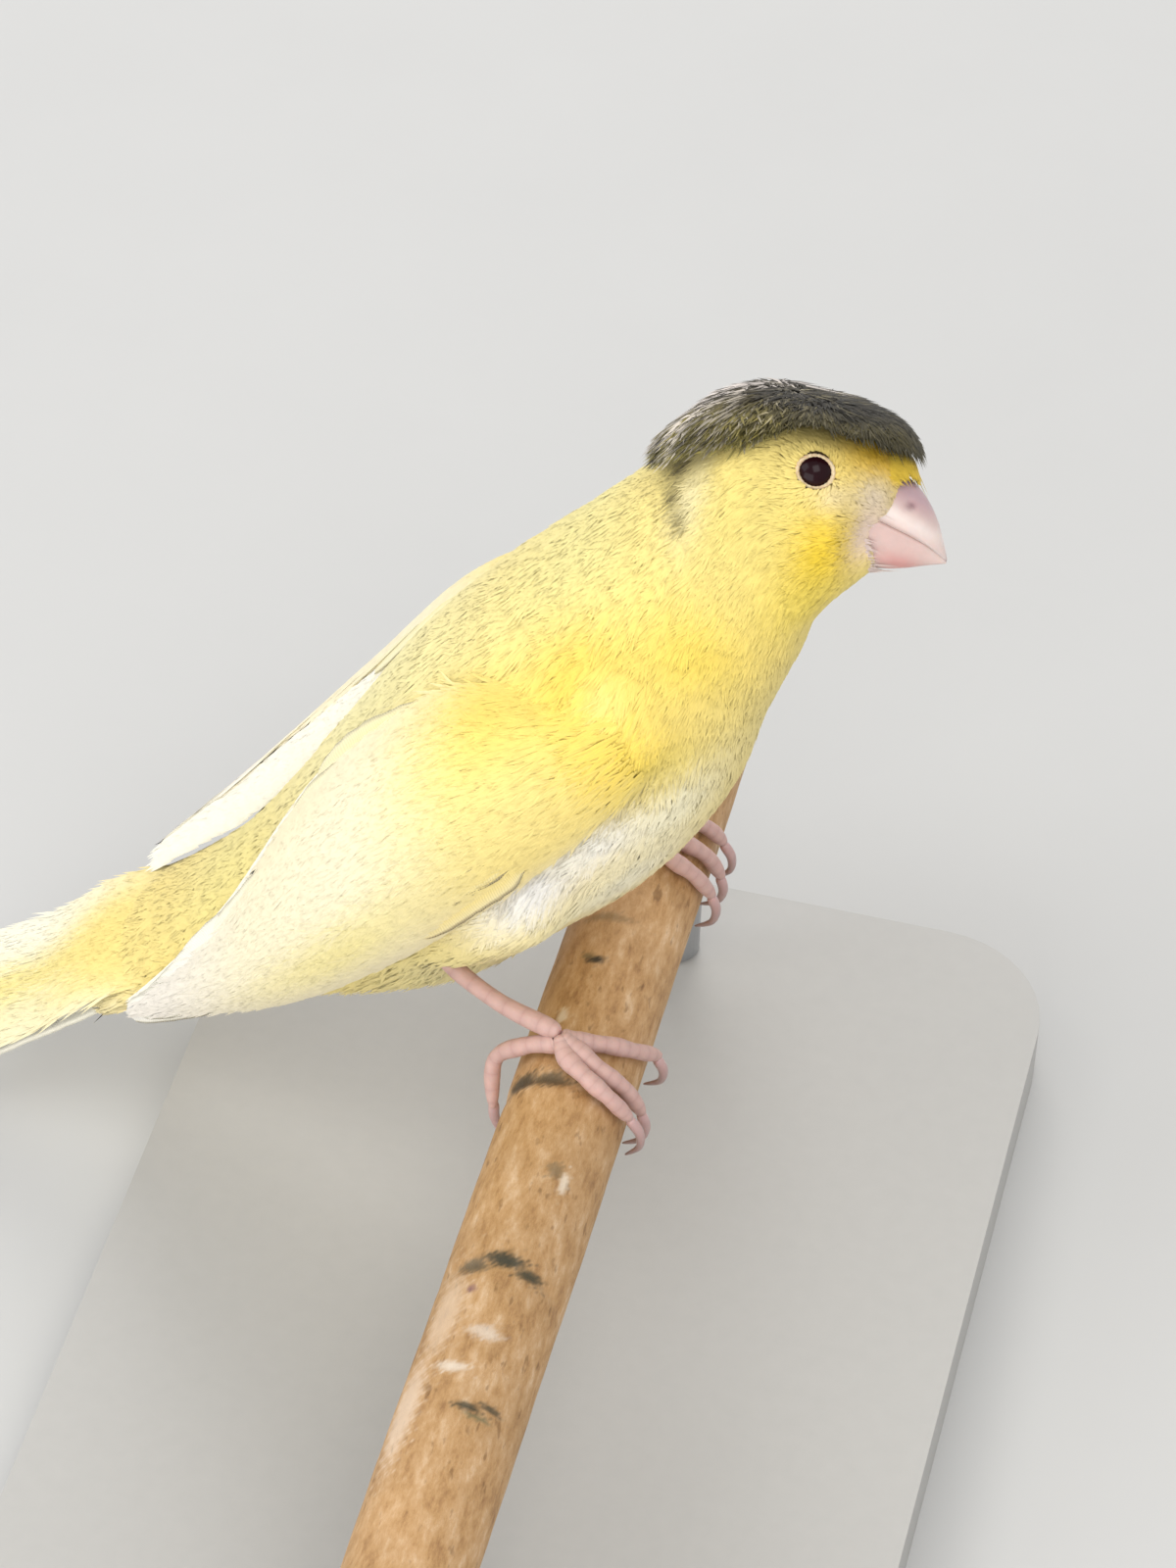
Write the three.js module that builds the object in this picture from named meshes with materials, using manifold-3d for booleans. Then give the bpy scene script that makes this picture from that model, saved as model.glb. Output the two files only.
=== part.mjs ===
// A small crested songbird at rest on a round wooden perch, with a plain display stand.
// Millimetres, +Z up. The bird faces +X, the perch runs along Y, and its right side is at -Y.
import * as THREE from "three";
import { mergeVertices } from "three/addons/utils/BufferGeometryUtils.js";
import Module from "manifold-3d";

const wasm = await Module();
wasm.setup();

// Space left between two neighbouring pieces.
const GAP = 0.32;
const DEG = Math.PI / 180;

// The perch: a straight round stick, and where it is cut on either side of the bird.
const PERCH_R = 6;
const PERCH_NEAR = -88;
const PERCH_FAR = 42;

// The stand: a flat base under two short rods.
const BASE_TOP = -27;
const BASE_THICK = 8;
const BASE_X = [-46, 40];
const BASE_Y = [-80, 40];
const BASE_CORNER = 12;
const ROD_R = 2.6;
const ROD_Y = [-64, 30];

// The body from the root of the tail to the neck. Each row is one cross section:
// x, y, z of its centre, half width, height above and depth below the centre, and in degrees
// its turn about the spine and how steeply it faces up.
const BODY_ROWS = [
  [-56.5, 2.2, -17.0, 7.2, 1.7, 1.9, -12, 40],
  [-50.0, 2.0, -11.6, 8.2, 2.9, 3.4, -10, 42],
  [-42.0, 1.2, -4.5, 8.7, 4.4, 7.0, -6, 45],
  [-34.0, 0.3, 3.4, 9.5, 6.4, 12.8, 0, 47],
  [-26.0, 0, 11.8, 11.7, 9.0, 16.8, 0, 48],
  [-17.5, 0, 21.0, 13.9, 12.0, 17.9, 0, 50],
  [-9.5, 0, 31.0, 14.9, 14.0, 18.4, 0, 53],
  [-2.6, 0, 41.5, 14.2, 13.3, 17.1, 2, 54],
  [3.2, 0, 51.0, 12.4, 11.4, 14.5, 8, 46],
  [8.6, 0, 59.4, 10.9, 10.2, 13.3, 18, 34],
];

// The head has its own frame: forward along the bill, up through the crown, out to the right.
const HEAD_CENTRE = new THREE.Vector3(18.2, 0, 68.6);
const HEAD_FORWARD = new THREE.Vector3(0.9985, -0.055, -0.0).normalize();
const HEAD_ROLL = 37;
const HEAD_PITCH = -4;
// Rows of the head: forward, up, right in the head's frame, then half width, above, below,
// turn and steepness.
const HEAD_ROWS = [
  [-4.8, -1.2, 0, 9.4, 8.3, 13.9, 28, 20],
  [-1.2, -0.6, 0, 8.8, 8.1, 11.2, 35, 9],
  [1.8, -0.6, 0, 7.7, 7.5, 8.4, 37, 2],
  [4.0, -0.8, 0, 6.1, 6.3, 6.2, 37, -2],
  [5.6, -0.9, 0, 4.2, 4.9, 4.4, 37, -4],
  [7.0, -0.6, 0, 1.9, 3.0, 3.4, 37, -4],
];

// Eyes: ball radius, and the centre of the ball in the head's frame for the right side.
const EYE_R = 2.3;
const EYE_AT = [-1.4, 1.95, 5.9];

function headFrame() {
  const forward = HEAD_FORWARD.clone();
  const level = new THREE.Vector3(0, 0, 1).cross(forward).normalize();
  forward.applyAxisAngle(level, -HEAD_PITCH * DEG);
  const up = new THREE.Vector3().crossVectors(forward, level).normalize();
  up.applyAxisAngle(forward, -HEAD_ROLL * DEG);
  const right = new THREE.Vector3().crossVectors(forward, up).normalize();
  return { forward, up, right };
}
const HEAD = headFrame();

// A point of the head's own frame in the bird's frame.
function headPoint(f, u, r) {
  return HEAD_CENTRE.clone()
    .addScaledVector(HEAD.forward, f)
    .addScaledVector(HEAD.up, u)
    .addScaledVector(HEAD.right, r);
}

// Smooth curve through evenly numbered rows, with t from 0 at the first to 1 at the last.
function along(rows, t) {
  const last = rows.length - 1;
  const at = Math.min(Math.max(t, 0), 1) * last;
  const i = Math.min(Math.floor(at), last - 1);
  const s = at - i;
  const row = (k) => rows[Math.min(Math.max(k, 0), last)];
  return rows[0].map((_, k) => {
    const [a, b, c, d] = [row(i - 1)[k], row(i)[k], row(i + 1)[k], row(i + 2)[k]];
    const cubic = -a + 3 * b - 3 * c + d;
    const square = 2 * a - 5 * b + 4 * c - d;
    return 0.5 * (2 * b + (c - a) * s + square * s * s + cubic * s * s * s);
  });
}

const SPINE_ROWS = BODY_ROWS.concat(
  HEAD_ROWS.map((row) => {
    const p = headPoint(row[0], row[1], row[2]);
    return [p.x, p.y, p.z].concat(row.slice(3));
  }),
);
const LAST_ROW = SPINE_ROWS.length - 1;

// The moving frame of the body at t: centre, the way along, the bird's left, and its back.
function spineFrame(t) {
  const row = along(SPINE_ROWS, t);
  const way = new THREE.Vector3(Math.cos(row[7] * DEG), 0, Math.sin(row[7] * DEG));
  const left = new THREE.Vector3(0, 1, 0).applyAxisAngle(way, -row[6] * DEG);
  const back = new THREE.Vector3().crossVectors(way, left).normalize();
  const centre = new THREE.Vector3(row[0], row[1], row[2]);
  return { centre, way, left, back, half: row[3], above: row[4], below: row[5] };
}

// A closed geometry as a solid, turned to face out.
function solid(geometry) {
  const bare = geometry.clone();
  bare.deleteAttribute("normal");
  bare.deleteAttribute("uv");
  const merged = mergeVertices(bare, 1e-4);
  const p = merged.attributes.position.array;
  const index = [];
  let volume = 0;
  const old = merged.index.array;
  for (let i = 0; i < old.length; i += 3) {
    const [a, b, c] = [old[i], old[i + 1], old[i + 2]];
    if (a === b || b === c || a === c) continue;
    index.push(a, b, c);
    const v = (k) => new THREE.Vector3(p[3 * k], p[3 * k + 1], p[3 * k + 2]);
    volume += v(a).dot(v(b).cross(v(c)));
  }
  if (volume < 0) {
    for (let i = 0; i < index.length; i += 3) {
      [index[i + 1], index[i + 2]] = [index[i + 2], index[i + 1]];
    }
  }
  const triVerts = new Uint32Array(index);
  return new wasm.Manifold(new wasm.Mesh({ numProp: 3, vertProperties: p, triVerts }));
}

// A ball pulled into a new form: place(t, turn) gives each point, t from pole to pole.
function warpedBall(around, lengthwise, place) {
  const ball = new THREE.SphereGeometry(1, around, lengthwise);
  const uv = ball.attributes.uv;
  const position = ball.attributes.position;
  for (let i = 0; i < position.count; i++) {
    const p = place(1 - uv.getY(i), 2 * Math.PI * uv.getX(i));
    position.setXYZ(i, p.x, p.y, p.z);
  }
  return ball;
}

// Keeps only the largest closed body of a solid.
function largest(made) {
  return made.decompose().sort((a, b) => b.volume() - a.volume())[0];
}

function geometryOf(made) {
  const mesh = made.getMesh();
  const n = mesh.numProp;
  const points = new Float32Array(mesh.numVert * 3);
  for (let i = 0; i < mesh.numVert; i++) {
    points.set(mesh.vertProperties.subarray(i * n, i * n + 3), i * 3);
  }
  const geometry = new THREE.BufferGeometry();
  geometry.setAttribute("position", new THREE.BufferAttribute(points, 3));
  geometry.setIndex(new THREE.BufferAttribute(new Uint32Array(mesh.triVerts), 1));
  return geometry;
}

// How far a section has opened at t: rounded off at both ends of the body.
function opened(t) {
  const tail = Math.min((t * LAST_ROW) / 0.65, 1);
  const face = Math.min(((1 - t) * LAST_ROW) / 1.1, 1);
  return Math.sqrt(1 - (1 - tail) ** 2) * Math.sqrt(1 - (1 - face) ** 2);
}

// The body's outline grown by a margin, from the tail root to the base of the bill.
function bodyForm(margin, around, lengthwise) {
  return solid(
    warpedBall(around, lengthwise, (v, turn) => {
      const t = 0.5 - 0.5 * Math.cos(Math.PI * v);
      const spread = 0.35 * v + 0.65 * t;
      const frame = spineFrame(spread);
      const open = opened(spread);
      const side = Math.cos(turn);
      const up = Math.sin(turn);
      const tall = up > 0 ? frame.above : frame.below;
      const shift = (spread - 0.5 > 0 ? 1 : -1) * margin * (1 - open);
      return frame.centre
        .addScaledVector(frame.way, shift)
        .addScaledVector(frame.left, side * (frame.half + margin) * open)
        .addScaledVector(frame.back, up * (tall + margin) * open);
    }),
  );
}

// A thin flat cut square across the body at a row, counted from the tail.
function parting(row) {
  const frame = spineFrame(row / LAST_ROW);
  const slab = new THREE.BoxGeometry(60, 60, GAP);
  const turn = new THREE.Matrix4().makeBasis(frame.left, frame.back, frame.way);
  turn.setPosition(frame.centre);
  slab.applyMatrix4(turn);
  return solid(slab);
}

// A round limb through a list of points with a radius at each, closed at both ends. Pads
// swell it at even steps, as the joints of a toe do.
function limb(points, radii, around, lengthwise, pads = 0) {
  const rows = points.map((p, i) => [...p, radii[i]]);
  return solid(
    warpedBall(around, lengthwise, (v, turn) => {
      const t = 0.5 - 0.5 * Math.cos(Math.PI * v);
      const spread = 0.6 * v + 0.4 * t;
      const [x, y, z, r] = along(rows, spread);
      const a = along(rows, Math.max(spread - 0.01, 0));
      const b = along(rows, Math.min(spread + 0.01, 1));
      const way = new THREE.Vector3(b[0] - a[0], b[1] - a[1], b[2] - a[2]).normalize();
      const side = new THREE.Vector3(0, 1, 0).addScaledVector(way, -way.y).normalize();
      const up = new THREE.Vector3().crossVectors(way, side);
      const open = Math.min(Math.sqrt(Math.max(1 - (2 * spread - 1) ** 8, 0)), 1);
      const wide = r * open * (1 + (pads ? 0.1 * Math.cos(2 * Math.PI * pads * spread) : 0));
      return new THREE.Vector3(x, y, z)
        .addScaledVector(side, Math.cos(turn) * wide)
        .addScaledVector(up, Math.sin(turn) * wide);
    }),
  );
}

// A thin closed sheet over a grid, with both faces split into triangles alike. place(u, w,
// side) gives its points: u from root to tip, w from -1 to 1 across, side 1 above and -1 below.
function sheet(rows, columns, place) {
  const grid = new THREE.PlaneGeometry(1, 1, columns, rows);
  const count = grid.attributes.position.count;
  const points = [];
  for (const side of [1, -1]) {
    for (let i = 0; i < count; i++) {
      const u = 1 - grid.attributes.uv.getY(i);
      const w = 2 * grid.attributes.uv.getX(i) - 1;
      points.push(...place(u, w, side).toArray());
    }
  }
  const top = Array.from(grid.index.array);
  const index = top.slice();
  for (let i = 0; i < top.length; i += 3) {
    index.push(top[i] + count, top[i + 2] + count, top[i + 1] + count);
  }
  const wide = columns + 1;
  const rim = [];
  for (let i = 0; i < columns; i++) rim.push(i);
  for (let i = 0; i < rows; i++) rim.push(columns + i * wide);
  for (let i = 0; i < columns; i++) rim.push(count - 1 - i);
  for (let i = 0; i < rows; i++) rim.push((rows - i) * wide);
  rim.forEach((a, i) => {
    const b = rim[(i + 1) % rim.length];
    index.push(a, b, a + count, b, b + count, a + count);
  });
  const made = new THREE.BufferGeometry();
  made.setAttribute("position", new THREE.Float32BufferAttribute(points, 3));
  made.setIndex(index);
  return made;
}

// One feather on a surface: surface(p, q, lift) gives points, path(u) the p, q and lift of
// its shaft from root to tip. It is widest past the middle, rounded at the tip, and cambered.
function vane(surface, path, half, thick, tilt, rows, columns) {
  const step = 0.01;
  return solid(
    sheet(rows, columns, (v, w, side) => {
      const u = 1 - (1 - v) ** 1.5;
      const [p, q, lift] = path(u);
      const centre = surface(p, q, lift);
      const tangent = surface(...path(u + step)).sub(surface(...path(u - step))).normalize();
      const one = surface(p + step, q, lift).sub(surface(p - step, q, lift));
      const two = surface(p, q + step, lift).sub(surface(p, q - step, lift));
      const normal = one.cross(two).normalize();
      const rise = surface(p, q, lift + 1).sub(centre);
      if (normal.dot(rise) < 0) normal.negate();
      const across = new THREE.Vector3().crossVectors(normal, tangent).normalize();
      across.applyAxisAngle(tangent, tilt * DEG);
      const upward = new THREE.Vector3().crossVectors(tangent, across).normalize();
      const swell = 0.55 + 0.45 * Math.min(u / 0.4, 1);
      const round = Math.sqrt(1 - 0.88 * Math.max((u - 0.72) / 0.28, 0) ** 2);
      const reach = w * half * swell * round;
      const deep = 0.5 * thick * (1 - 0.35 * u ** 4) * side;
      return centre
        .addScaledVector(across, reach)
        .addScaledVector(upward, deep - 0.12 * Math.abs(reach) * Math.abs(w));
    }),
  );
}

const nodes = new THREE.Group();
function add(name, made, colour, roughness) {
  const metalness = 0;
  const material = new THREE.MeshStandardMaterial({ color: colour, roughness, metalness });
  const mesh = new THREE.Mesh(geometryOf(made), material);
  mesh.name = name;
  nodes.add(mesh);
}

const YELLOW = 0xf2e37a;
const WHITE = 0xf3efd6;
const DARK = 0x4b4a38;
const PINK = 0xd9a29a;
const BILL = 0xe6bfb8;
const CLAW = 0xcdaca0;
const BLACK = 0x17100e;
const WOOD = 0xb98a58;
const STAND = 0xb9b6b0;

const flesh = bodyForm(0, 26, 32);
const grown = bodyForm(GAP, 26, 32);

// Wings folded along the sides: the upper and lower edges from the shoulder to the tip.
// The left wing is held a little higher behind, so each wing has rows of its own.
const WING_UPPER = {
  r: [
    [7.0, -9.5, 51.0],
    [-5.5, -9.6, 49.5],
    [-16.5, -7.8, 43.8],
    [-27.2, -8.4, 30.0],
    [-37.0, -9.4, 9.8],
    [-48.6, -9.0, -9.8],
  ],
  l: [
    [7.0, 9.5, 51.0],
    [-4.5, 8.6, 46.6],
    [-15.9, 6.0, 40.4],
    [-27.2, 7.8, 25.2],
    [-39.0, 9.2, 9.0],
    [-51.8, 9.2, -7.4],
  ],
};
const WING_LOWER = {
  r: [
    [8.4, -12.6, 46.5],
    [-0.5, -16.2, 34.0],
    [-11.5, -16.4, 20.5],
    [-24.0, -14.4, 6.5],
    [-36.5, -12.0, -4.0],
    [-48.4, -9.6, -10.8],
  ],
  l: [
    [8.4, 12.6, 46.5],
    [-0.5, 16.2, 34.0],
    [-12.0, 16.4, 20.8],
    [-25.5, 14.6, 7.4],
    [-38.8, 12.6, -1.6],
    [-51.4, 9.9, -8.2],
  ],
};
const SHOULDER_ROW = 8.1;
const WING_BULGE = [[2.0], [4.4], [5.4], [4.6], [2.4], [0.1]];
const WING_THICK = [[2.0], [2.4], [2.2], [1.5], [0.9], [0.45]];

// A point of the wing: a runs from shoulder to tip, b from -1 at the lower edge to 1 at the
// upper, lift is the height over its middle surface.
function wingPoint(side, a, b, lift) {
  const up = along(WING_UPPER[side], a);
  const low = along(WING_LOWER[side], a);
  const upper = new THREE.Vector3(...up);
  const lower = new THREE.Vector3(...low);
  const frame = spineFrame((SHOULDER_ROW / LAST_ROW) * (1 - a));
  const across = upper.clone().sub(lower).normalize();
  const out = new THREE.Vector3().crossVectors(across, frame.way).normalize();
  if (out.y * lower.y < 0) out.negate();
  const p = lower.lerp(upper, (1 + b) / 2);
  return p.addScaledVector(out, along(WING_BULGE, a)[0] * (1 - b * b) + lift);
}

const WING_CORE_REACH = 0.86;
const VANE_THICK = 0.52;
function wingCore(side) {
  const form = warpedBall(12, 10, (v, turn) => {
    const t = 0.5 - 0.5 * Math.cos(Math.PI * v);
    const spread = 0.5 * v + 0.5 * t;
    const a = WING_CORE_REACH * spread;
    const open = Math.sqrt(Math.max(1 - (2 * spread - 1) ** 10, 0));
    const thick = along(WING_THICK, a)[0] * open * 0.8;
    const s = Math.sin(turn);
    return wingPoint(side, a, Math.cos(turn) * open * 0.94, s > 0 ? s * thick : s * thick * 2.6);
  });
  return solid(form);
}

// The large feathers of a wing in tiers, each: how many, where the first and the last root and
// tip are as a and b, half width, first and last lift over the wing's core, steps along a feather.
const PRIMARIES = {
  count: 5,
  root: [0.5, -0.7, 0.46, -0.1],
  tip: [0.98, -0.2, 0.88, 0.8],
  half: 2.2,
  lift: [0.2, 1.1],
  steps: 4,
};
const SECONDARIES = {
  count: 4,
  root: [0.38, -0.65, 0.36, 0.3],
  tip: [0.68, -0.7, 0.84, 0.55],
  half: 3.3,
  lift: [0.5, 1.4],
  steps: 4,
};
const TERTIALS = {
  count: 3,
  root: [0.3, 0.2, 0.26, 0.6],
  tip: [0.76, 0.5, 0.6, 0.92],
  half: 3.1,
  lift: [1.3, 1.6],
  steps: 3,
};
const GREATER_COVERTS = {
  count: 5,
  root: [0.24, -0.75, 0.22, 0.4],
  tip: [0.42, -0.8, 0.48, 0.5],
  half: 3.3,
  lift: [1.1, 1.5],
  steps: 3,
};
const MEDIAN_COVERTS = {
  count: 4,
  root: [0.1, -0.7, 0.08, 0.3],
  tip: [0.27, -0.75, 0.31, 0.45],
  half: 3.6,
  lift: [1.5, 1.7],
  steps: 3,
};
const WING_TIERS = [PRIMARIES, SECONDARIES, TERTIALS, GREATER_COVERTS, MEDIAN_COVERTS];

function wingForm(side) {
  const surface = (a, b, lift) => wingPoint(side, a, b, lift);
  let made = wingCore(side);
  const lean = side === "r" ? 1 : -1;
  for (const tier of WING_TIERS) {
    const { root, tip, lift } = tier;
    for (let i = 0; i < tier.count; i++) {
      const s = i / (tier.count - 1);
      const [ra, rb] = [0, 1].map((k) => root[k] + (root[k + 2] - root[k]) * s);
      const [ta, tb] = [0, 1].map((k) => tip[k] + (tip[k + 2] - tip[k]) * s);
      const rise = 0.3 + lift[0] + (lift[1] - lift[0]) * s;
      const path = (u) => {
        const a = ra + (ta - ra) * u;
        const sunk = along(WING_THICK, a)[0] * 0.8 - 0.3;
        return [a, rb + (tb - rb) * Math.max(u, 0) ** 1.2, sunk + rise * Math.min(u * 1.7, 1)];
      };
      made = made.add(vane(surface, path, tier.half, VANE_THICK, lean * 7, tier.steps, 1));
    }
  }
  return made;
}
const wingRight = largest(wingForm("r").subtract(grown));
const wingLeft = largest(wingForm("l").subtract(grown));

// Tail: a narrow fan that opens a little toward its slightly notched end.
const TAIL_ROOT = new THREE.Vector3(-47.0, 2.1, -9.8);
const TAIL_TIP = new THREE.Vector3(-72.0, 1.4, -28.2);
const TAIL_ROLL = 12;
const TAIL_HALF_ROOT = 7.7;
const TAIL_HALF_TIP = 8.0;
const TAIL_NOTCH = 2.0;
const TAIL_THICK = 1.1;
function tailPoint(a, b, lift) {
  const way = TAIL_TIP.clone().sub(TAIL_ROOT);
  const length = way.length();
  way.normalize();
  const aside = new THREE.Vector3(0, 1, 0).applyAxisAngle(way, -TAIL_ROLL * DEG);
  const up = aside.clone().cross(way).normalize();
  if (up.z < 0) up.negate();
  const half = TAIL_HALF_ROOT + (TAIL_HALF_TIP - TAIL_HALF_ROOT) * a;
  const reach = a * length - TAIL_NOTCH * a * a * (1 - Math.abs(b));
  const p = TAIL_ROOT.clone().addScaledVector(way, reach);
  p.addScaledVector(aside, b * half);
  p.addScaledVector(up, lift + 0.9 * (1 - b * b));
  return p;
}
const TAIL_FEATHERS = 12;
const TAIL_FEATHER_HALF = 2.0;
const TAIL_CORE_REACH = 0.5;
function tailForm() {
  const form = warpedBall(16, 8, (v, turn) => {
    const a = TAIL_CORE_REACH * v;
    const open = Math.sqrt(Math.max(1 - (2 * v - 1) ** 12, 0));
    const s = Math.sin(turn);
    return tailPoint(a, Math.cos(turn) * open * 0.9, s * TAIL_THICK * open);
  });
  let made = solid(form);
  for (let i = 0; i < TAIL_FEATHERS; i++) {
    const b = (2 * i) / (TAIL_FEATHERS - 1) - 1;
    const lift = 0.75 * (1 - Math.abs(b)) - 0.35;
    const path = (u) => [0.02 + 0.98 * u, b * (0.62 + 0.22 * u), lift];
    const tilt = b > 0 ? -6 : 6;
    made = made.add(vane(tailPoint, path, TAIL_FEATHER_HALF, VANE_THICK, tilt, 4, 1));
  }
  return made;
}

// The crest: a domed cap of feathers from the base of the bill to the nape.
const CREST_CENTRE = [-4.7, 8.0, 0];
const CREST_AHEAD = 11.7;
const CREST_BEHIND = 12.6;
const CREST_WIDE = 9.6;
function crestPoint(reach, turn, lift) {
  const ahead = Math.cos(turn);
  const aside = Math.sin(turn);
  const f = CREST_CENTRE[0] + (ahead > 0 ? CREST_AHEAD : CREST_BEHIND) * reach * ahead;
  const r = CREST_WIDE * reach * aside;
  const fall = ahead > 0 ? 1.2 * reach * reach + 2.3 * reach ** 4 : 8.4 * reach ** 2.4;
  const drop = fall * ahead * ahead + 2.9 * reach ** 2.6 * aside * aside;
  return headPoint(f, CREST_CENTRE[1] + lift - drop, r);
}
// Crest feathers in three tiers round the whorl, each: how many, reach of root and tip,
// half width, and lift of the tip.
const CREST_TIERS = [
  { count: 15, root: 0.55, tip: 1.06, half: 2.1, lift: 0.4 },
  { count: 9, root: 0.3, tip: 0.8, half: 2.4, lift: 0.9 },
  { count: 5, root: 0.06, tip: 0.5, half: 2.5, lift: 1.2 },
];
const crestSurface = (x, y, lift) => {
  const reach = Math.max(Math.hypot(x, y), 1e-4);
  return crestPoint(reach, Math.atan2(y, x), lift);
};
function crestForm(margin) {
  const cap = warpedBall(14, 6, (v, turn) => {
    const reach = Math.sin(Math.PI * v);
    const lift = Math.cos(Math.PI * v) * (0.85 + margin + 0.3 * (1 - reach));
    return crestPoint(reach * (0.92 + margin * 0.09), turn, lift);
  });
  let made = solid(cap);
  const wide = margin;
  CREST_TIERS.forEach((tier, k) => {
    for (let i = 0; i < tier.count; i++) {
      const turn = (2 * Math.PI * (i + 0.5 * (k % 2))) / tier.count;
      const swirl = 0.22;
      const path = (u) => {
        const reach = tier.root + (tier.tip + margin * 0.08 - tier.root) * u;
        const at = turn + swirl * u;
        const lift = 0.4 + tier.lift * Math.min(1.3 * u, 1) - 0.3;
        return [reach * Math.cos(at), reach * Math.sin(at), lift];
      };
      const half = tier.half + wide;
      made = made.add(vane(crestSurface, path, half, VANE_THICK + 2 * margin, 5, 3, 1));
    }
  });
  return made;
}

// Flesh parted into rump, torso, neck and head.
const CUT_ROWS = [3.8, 8.5, 9.9];
let parted = flesh;
for (const row of CUT_ROWS) parted = parted.subtract(parting(row));
const pieces = parted.decompose();
const middle = (made) => {
  const box = made.boundingBox();
  return (box.min[2] + box.max[2]) / 2;
};
pieces.sort((a, b) => middle(a) - middle(b));
const [rump, torso, neck, headFlesh] = pieces;

function ball(radius, p, wide, high) {
  const form = new THREE.SphereGeometry(radius, wide, high);
  form.translate(p.x, p.y, p.z);
  return solid(form);
}
const eyeRightAt = headPoint(EYE_AT[0], EYE_AT[1], EYE_AT[2]);
const eyeLeftAt = headPoint(EYE_AT[0], EYE_AT[1], -EYE_AT[2]);

// The bill in the head's frame: profile rows of forward, culmen height, mouth line, lower line.
const BILL_ROWS = [
  [3.2, 3.4, -0.3, -5.7, 4.5],
  [6.2, 3.1, -1.0, -5.3, 3.7],
  [8.2, 1.9, -1.5, -4.7, 2.9],
  [9.9, 0.0, -2.1, -4.0, 1.9],
  [11.6, -3.0, -3.1, -3.35, 0.28],
];
// The whole bill as one closed form, and the thin curved cut between its halves.
function billForm() {
  const form = warpedBall(18, 12, (v, turn) => {
    const t = 0.5 - 0.5 * Math.cos(Math.PI * v);
    const spread = 0.5 * v + 0.5 * t;
    const [f, top, mouth, bottom, wide] = along(BILL_ROWS, spread);
    const open = Math.sqrt(Math.max(1 - (2 * spread - 1) ** 12, 0));
    const s = Math.sin(turn);
    const tall = s > 0 ? top - mouth : mouth - bottom;
    return headPoint(f, mouth + tall * s * open, Math.cos(turn) * wide * open);
  });
  return solid(form);
}
function mouthCut() {
  const form = new THREE.BoxGeometry(14, GAP, 14, 10, 1, 1);
  const position = form.attributes.position;
  const [first, last] = [BILL_ROWS[0], BILL_ROWS[BILL_ROWS.length - 1]];
  for (let i = 0; i < position.count; i++) {
    const f = position.getX(i) + 9;
    const t = (f - first[0]) / (last[0] - first[0]);
    const mouth = along(BILL_ROWS, t)[2] + Math.max(t - 1, 0) * -2;
    const p = headPoint(f, mouth + position.getY(i), position.getZ(i));
    position.setXYZ(i, p.x, p.y, p.z);
  }
  return solid(form);
}

const crest = crestForm(0);
const crestGrown = crestForm(GAP);

// Lids: a raised ring round each eye, part of the head.
const LID_RING = 1.95;
const LID_TUBE = 0.5;
function lid(side, margin) {
  const ring = new THREE.TorusGeometry(LID_RING, LID_TUBE + margin, 6, 14);
  const aim = HEAD.right.clone().multiplyScalar(side).addScaledVector(HEAD.forward, 0.22);
  aim.addScaledVector(HEAD.up, 0.12).normalize();
  const turn = new THREE.Quaternion().setFromUnitVectors(new THREE.Vector3(0, 0, 1), aim);
  ring.applyQuaternion(turn);
  const at = headPoint(EYE_AT[0], EYE_AT[1], side * EYE_AT[2]).addScaledVector(aim, 1.85);
  ring.translate(at.x, at.y, at.z);
  return solid(ring);
}
const socketRight = ball(EYE_R + GAP, eyeRightAt, 12, 8);
const socketLeft = ball(EYE_R + GAP, eyeLeftAt, 12, 8);
const faced = headFlesh.add(crest).add(lid(1, 0)).add(lid(-1, 0));
const head = largest(faced.subtract(socketRight).subtract(socketLeft));
const neckCut = neck.subtract(crestGrown).subtract(crest);
const neckShown = largest(neckCut.subtract(lid(1, GAP)).subtract(lid(-1, GAP)));

const billParts = billForm().subtract(mouthCut()).decompose();
const overMouth = (made) => {
  const box = made.boundingBox();
  return (box.min[2] + box.max[2]) / 2;
};
billParts.sort((a, b) => b.volume() - a.volume());
const [billTop, billBottom] = billParts.slice(0, 2).sort((a, b) => overMouth(b) - overMouth(a));
const NOSTRIL_R = 0.45;
const NOSTRIL_AT = [7.4, 1.1, 2.6];
const nostrils = [1, -1].map((side) =>
  ball(NOSTRIL_R, headPoint(NOSTRIL_AT[0], NOSTRIL_AT[1], side * NOSTRIL_AT[2]), 8, 6),
);
const billWhole = billTop.subtract(grown).subtract(crestGrown).subtract(crest);
const billUpper = largest(billWhole.subtract(nostrils[0]).subtract(nostrils[1]));
const billLower = largest(billBottom.subtract(grown));

// Legs and feet. A toe lies on the perch: angle from the top of the perch toward the front.
const perchForm = new THREE.CylinderGeometry(PERCH_R, PERCH_R, PERCH_FAR - PERCH_NEAR, 48, 1);
perchForm.translate(0, (PERCH_FAR + PERCH_NEAR) / 2, 0);
const perchGrownForm = new THREE.CylinderGeometry(PERCH_R + GAP, PERCH_R + GAP, 200, 48, 1);
const perchGrown = solid(perchGrownForm);

function onPerch(degrees, y, height) {
  const a = degrees * DEG;
  return [(PERCH_R + height) * Math.sin(a), y, (PERCH_R + height) * Math.cos(a)];
}
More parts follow.
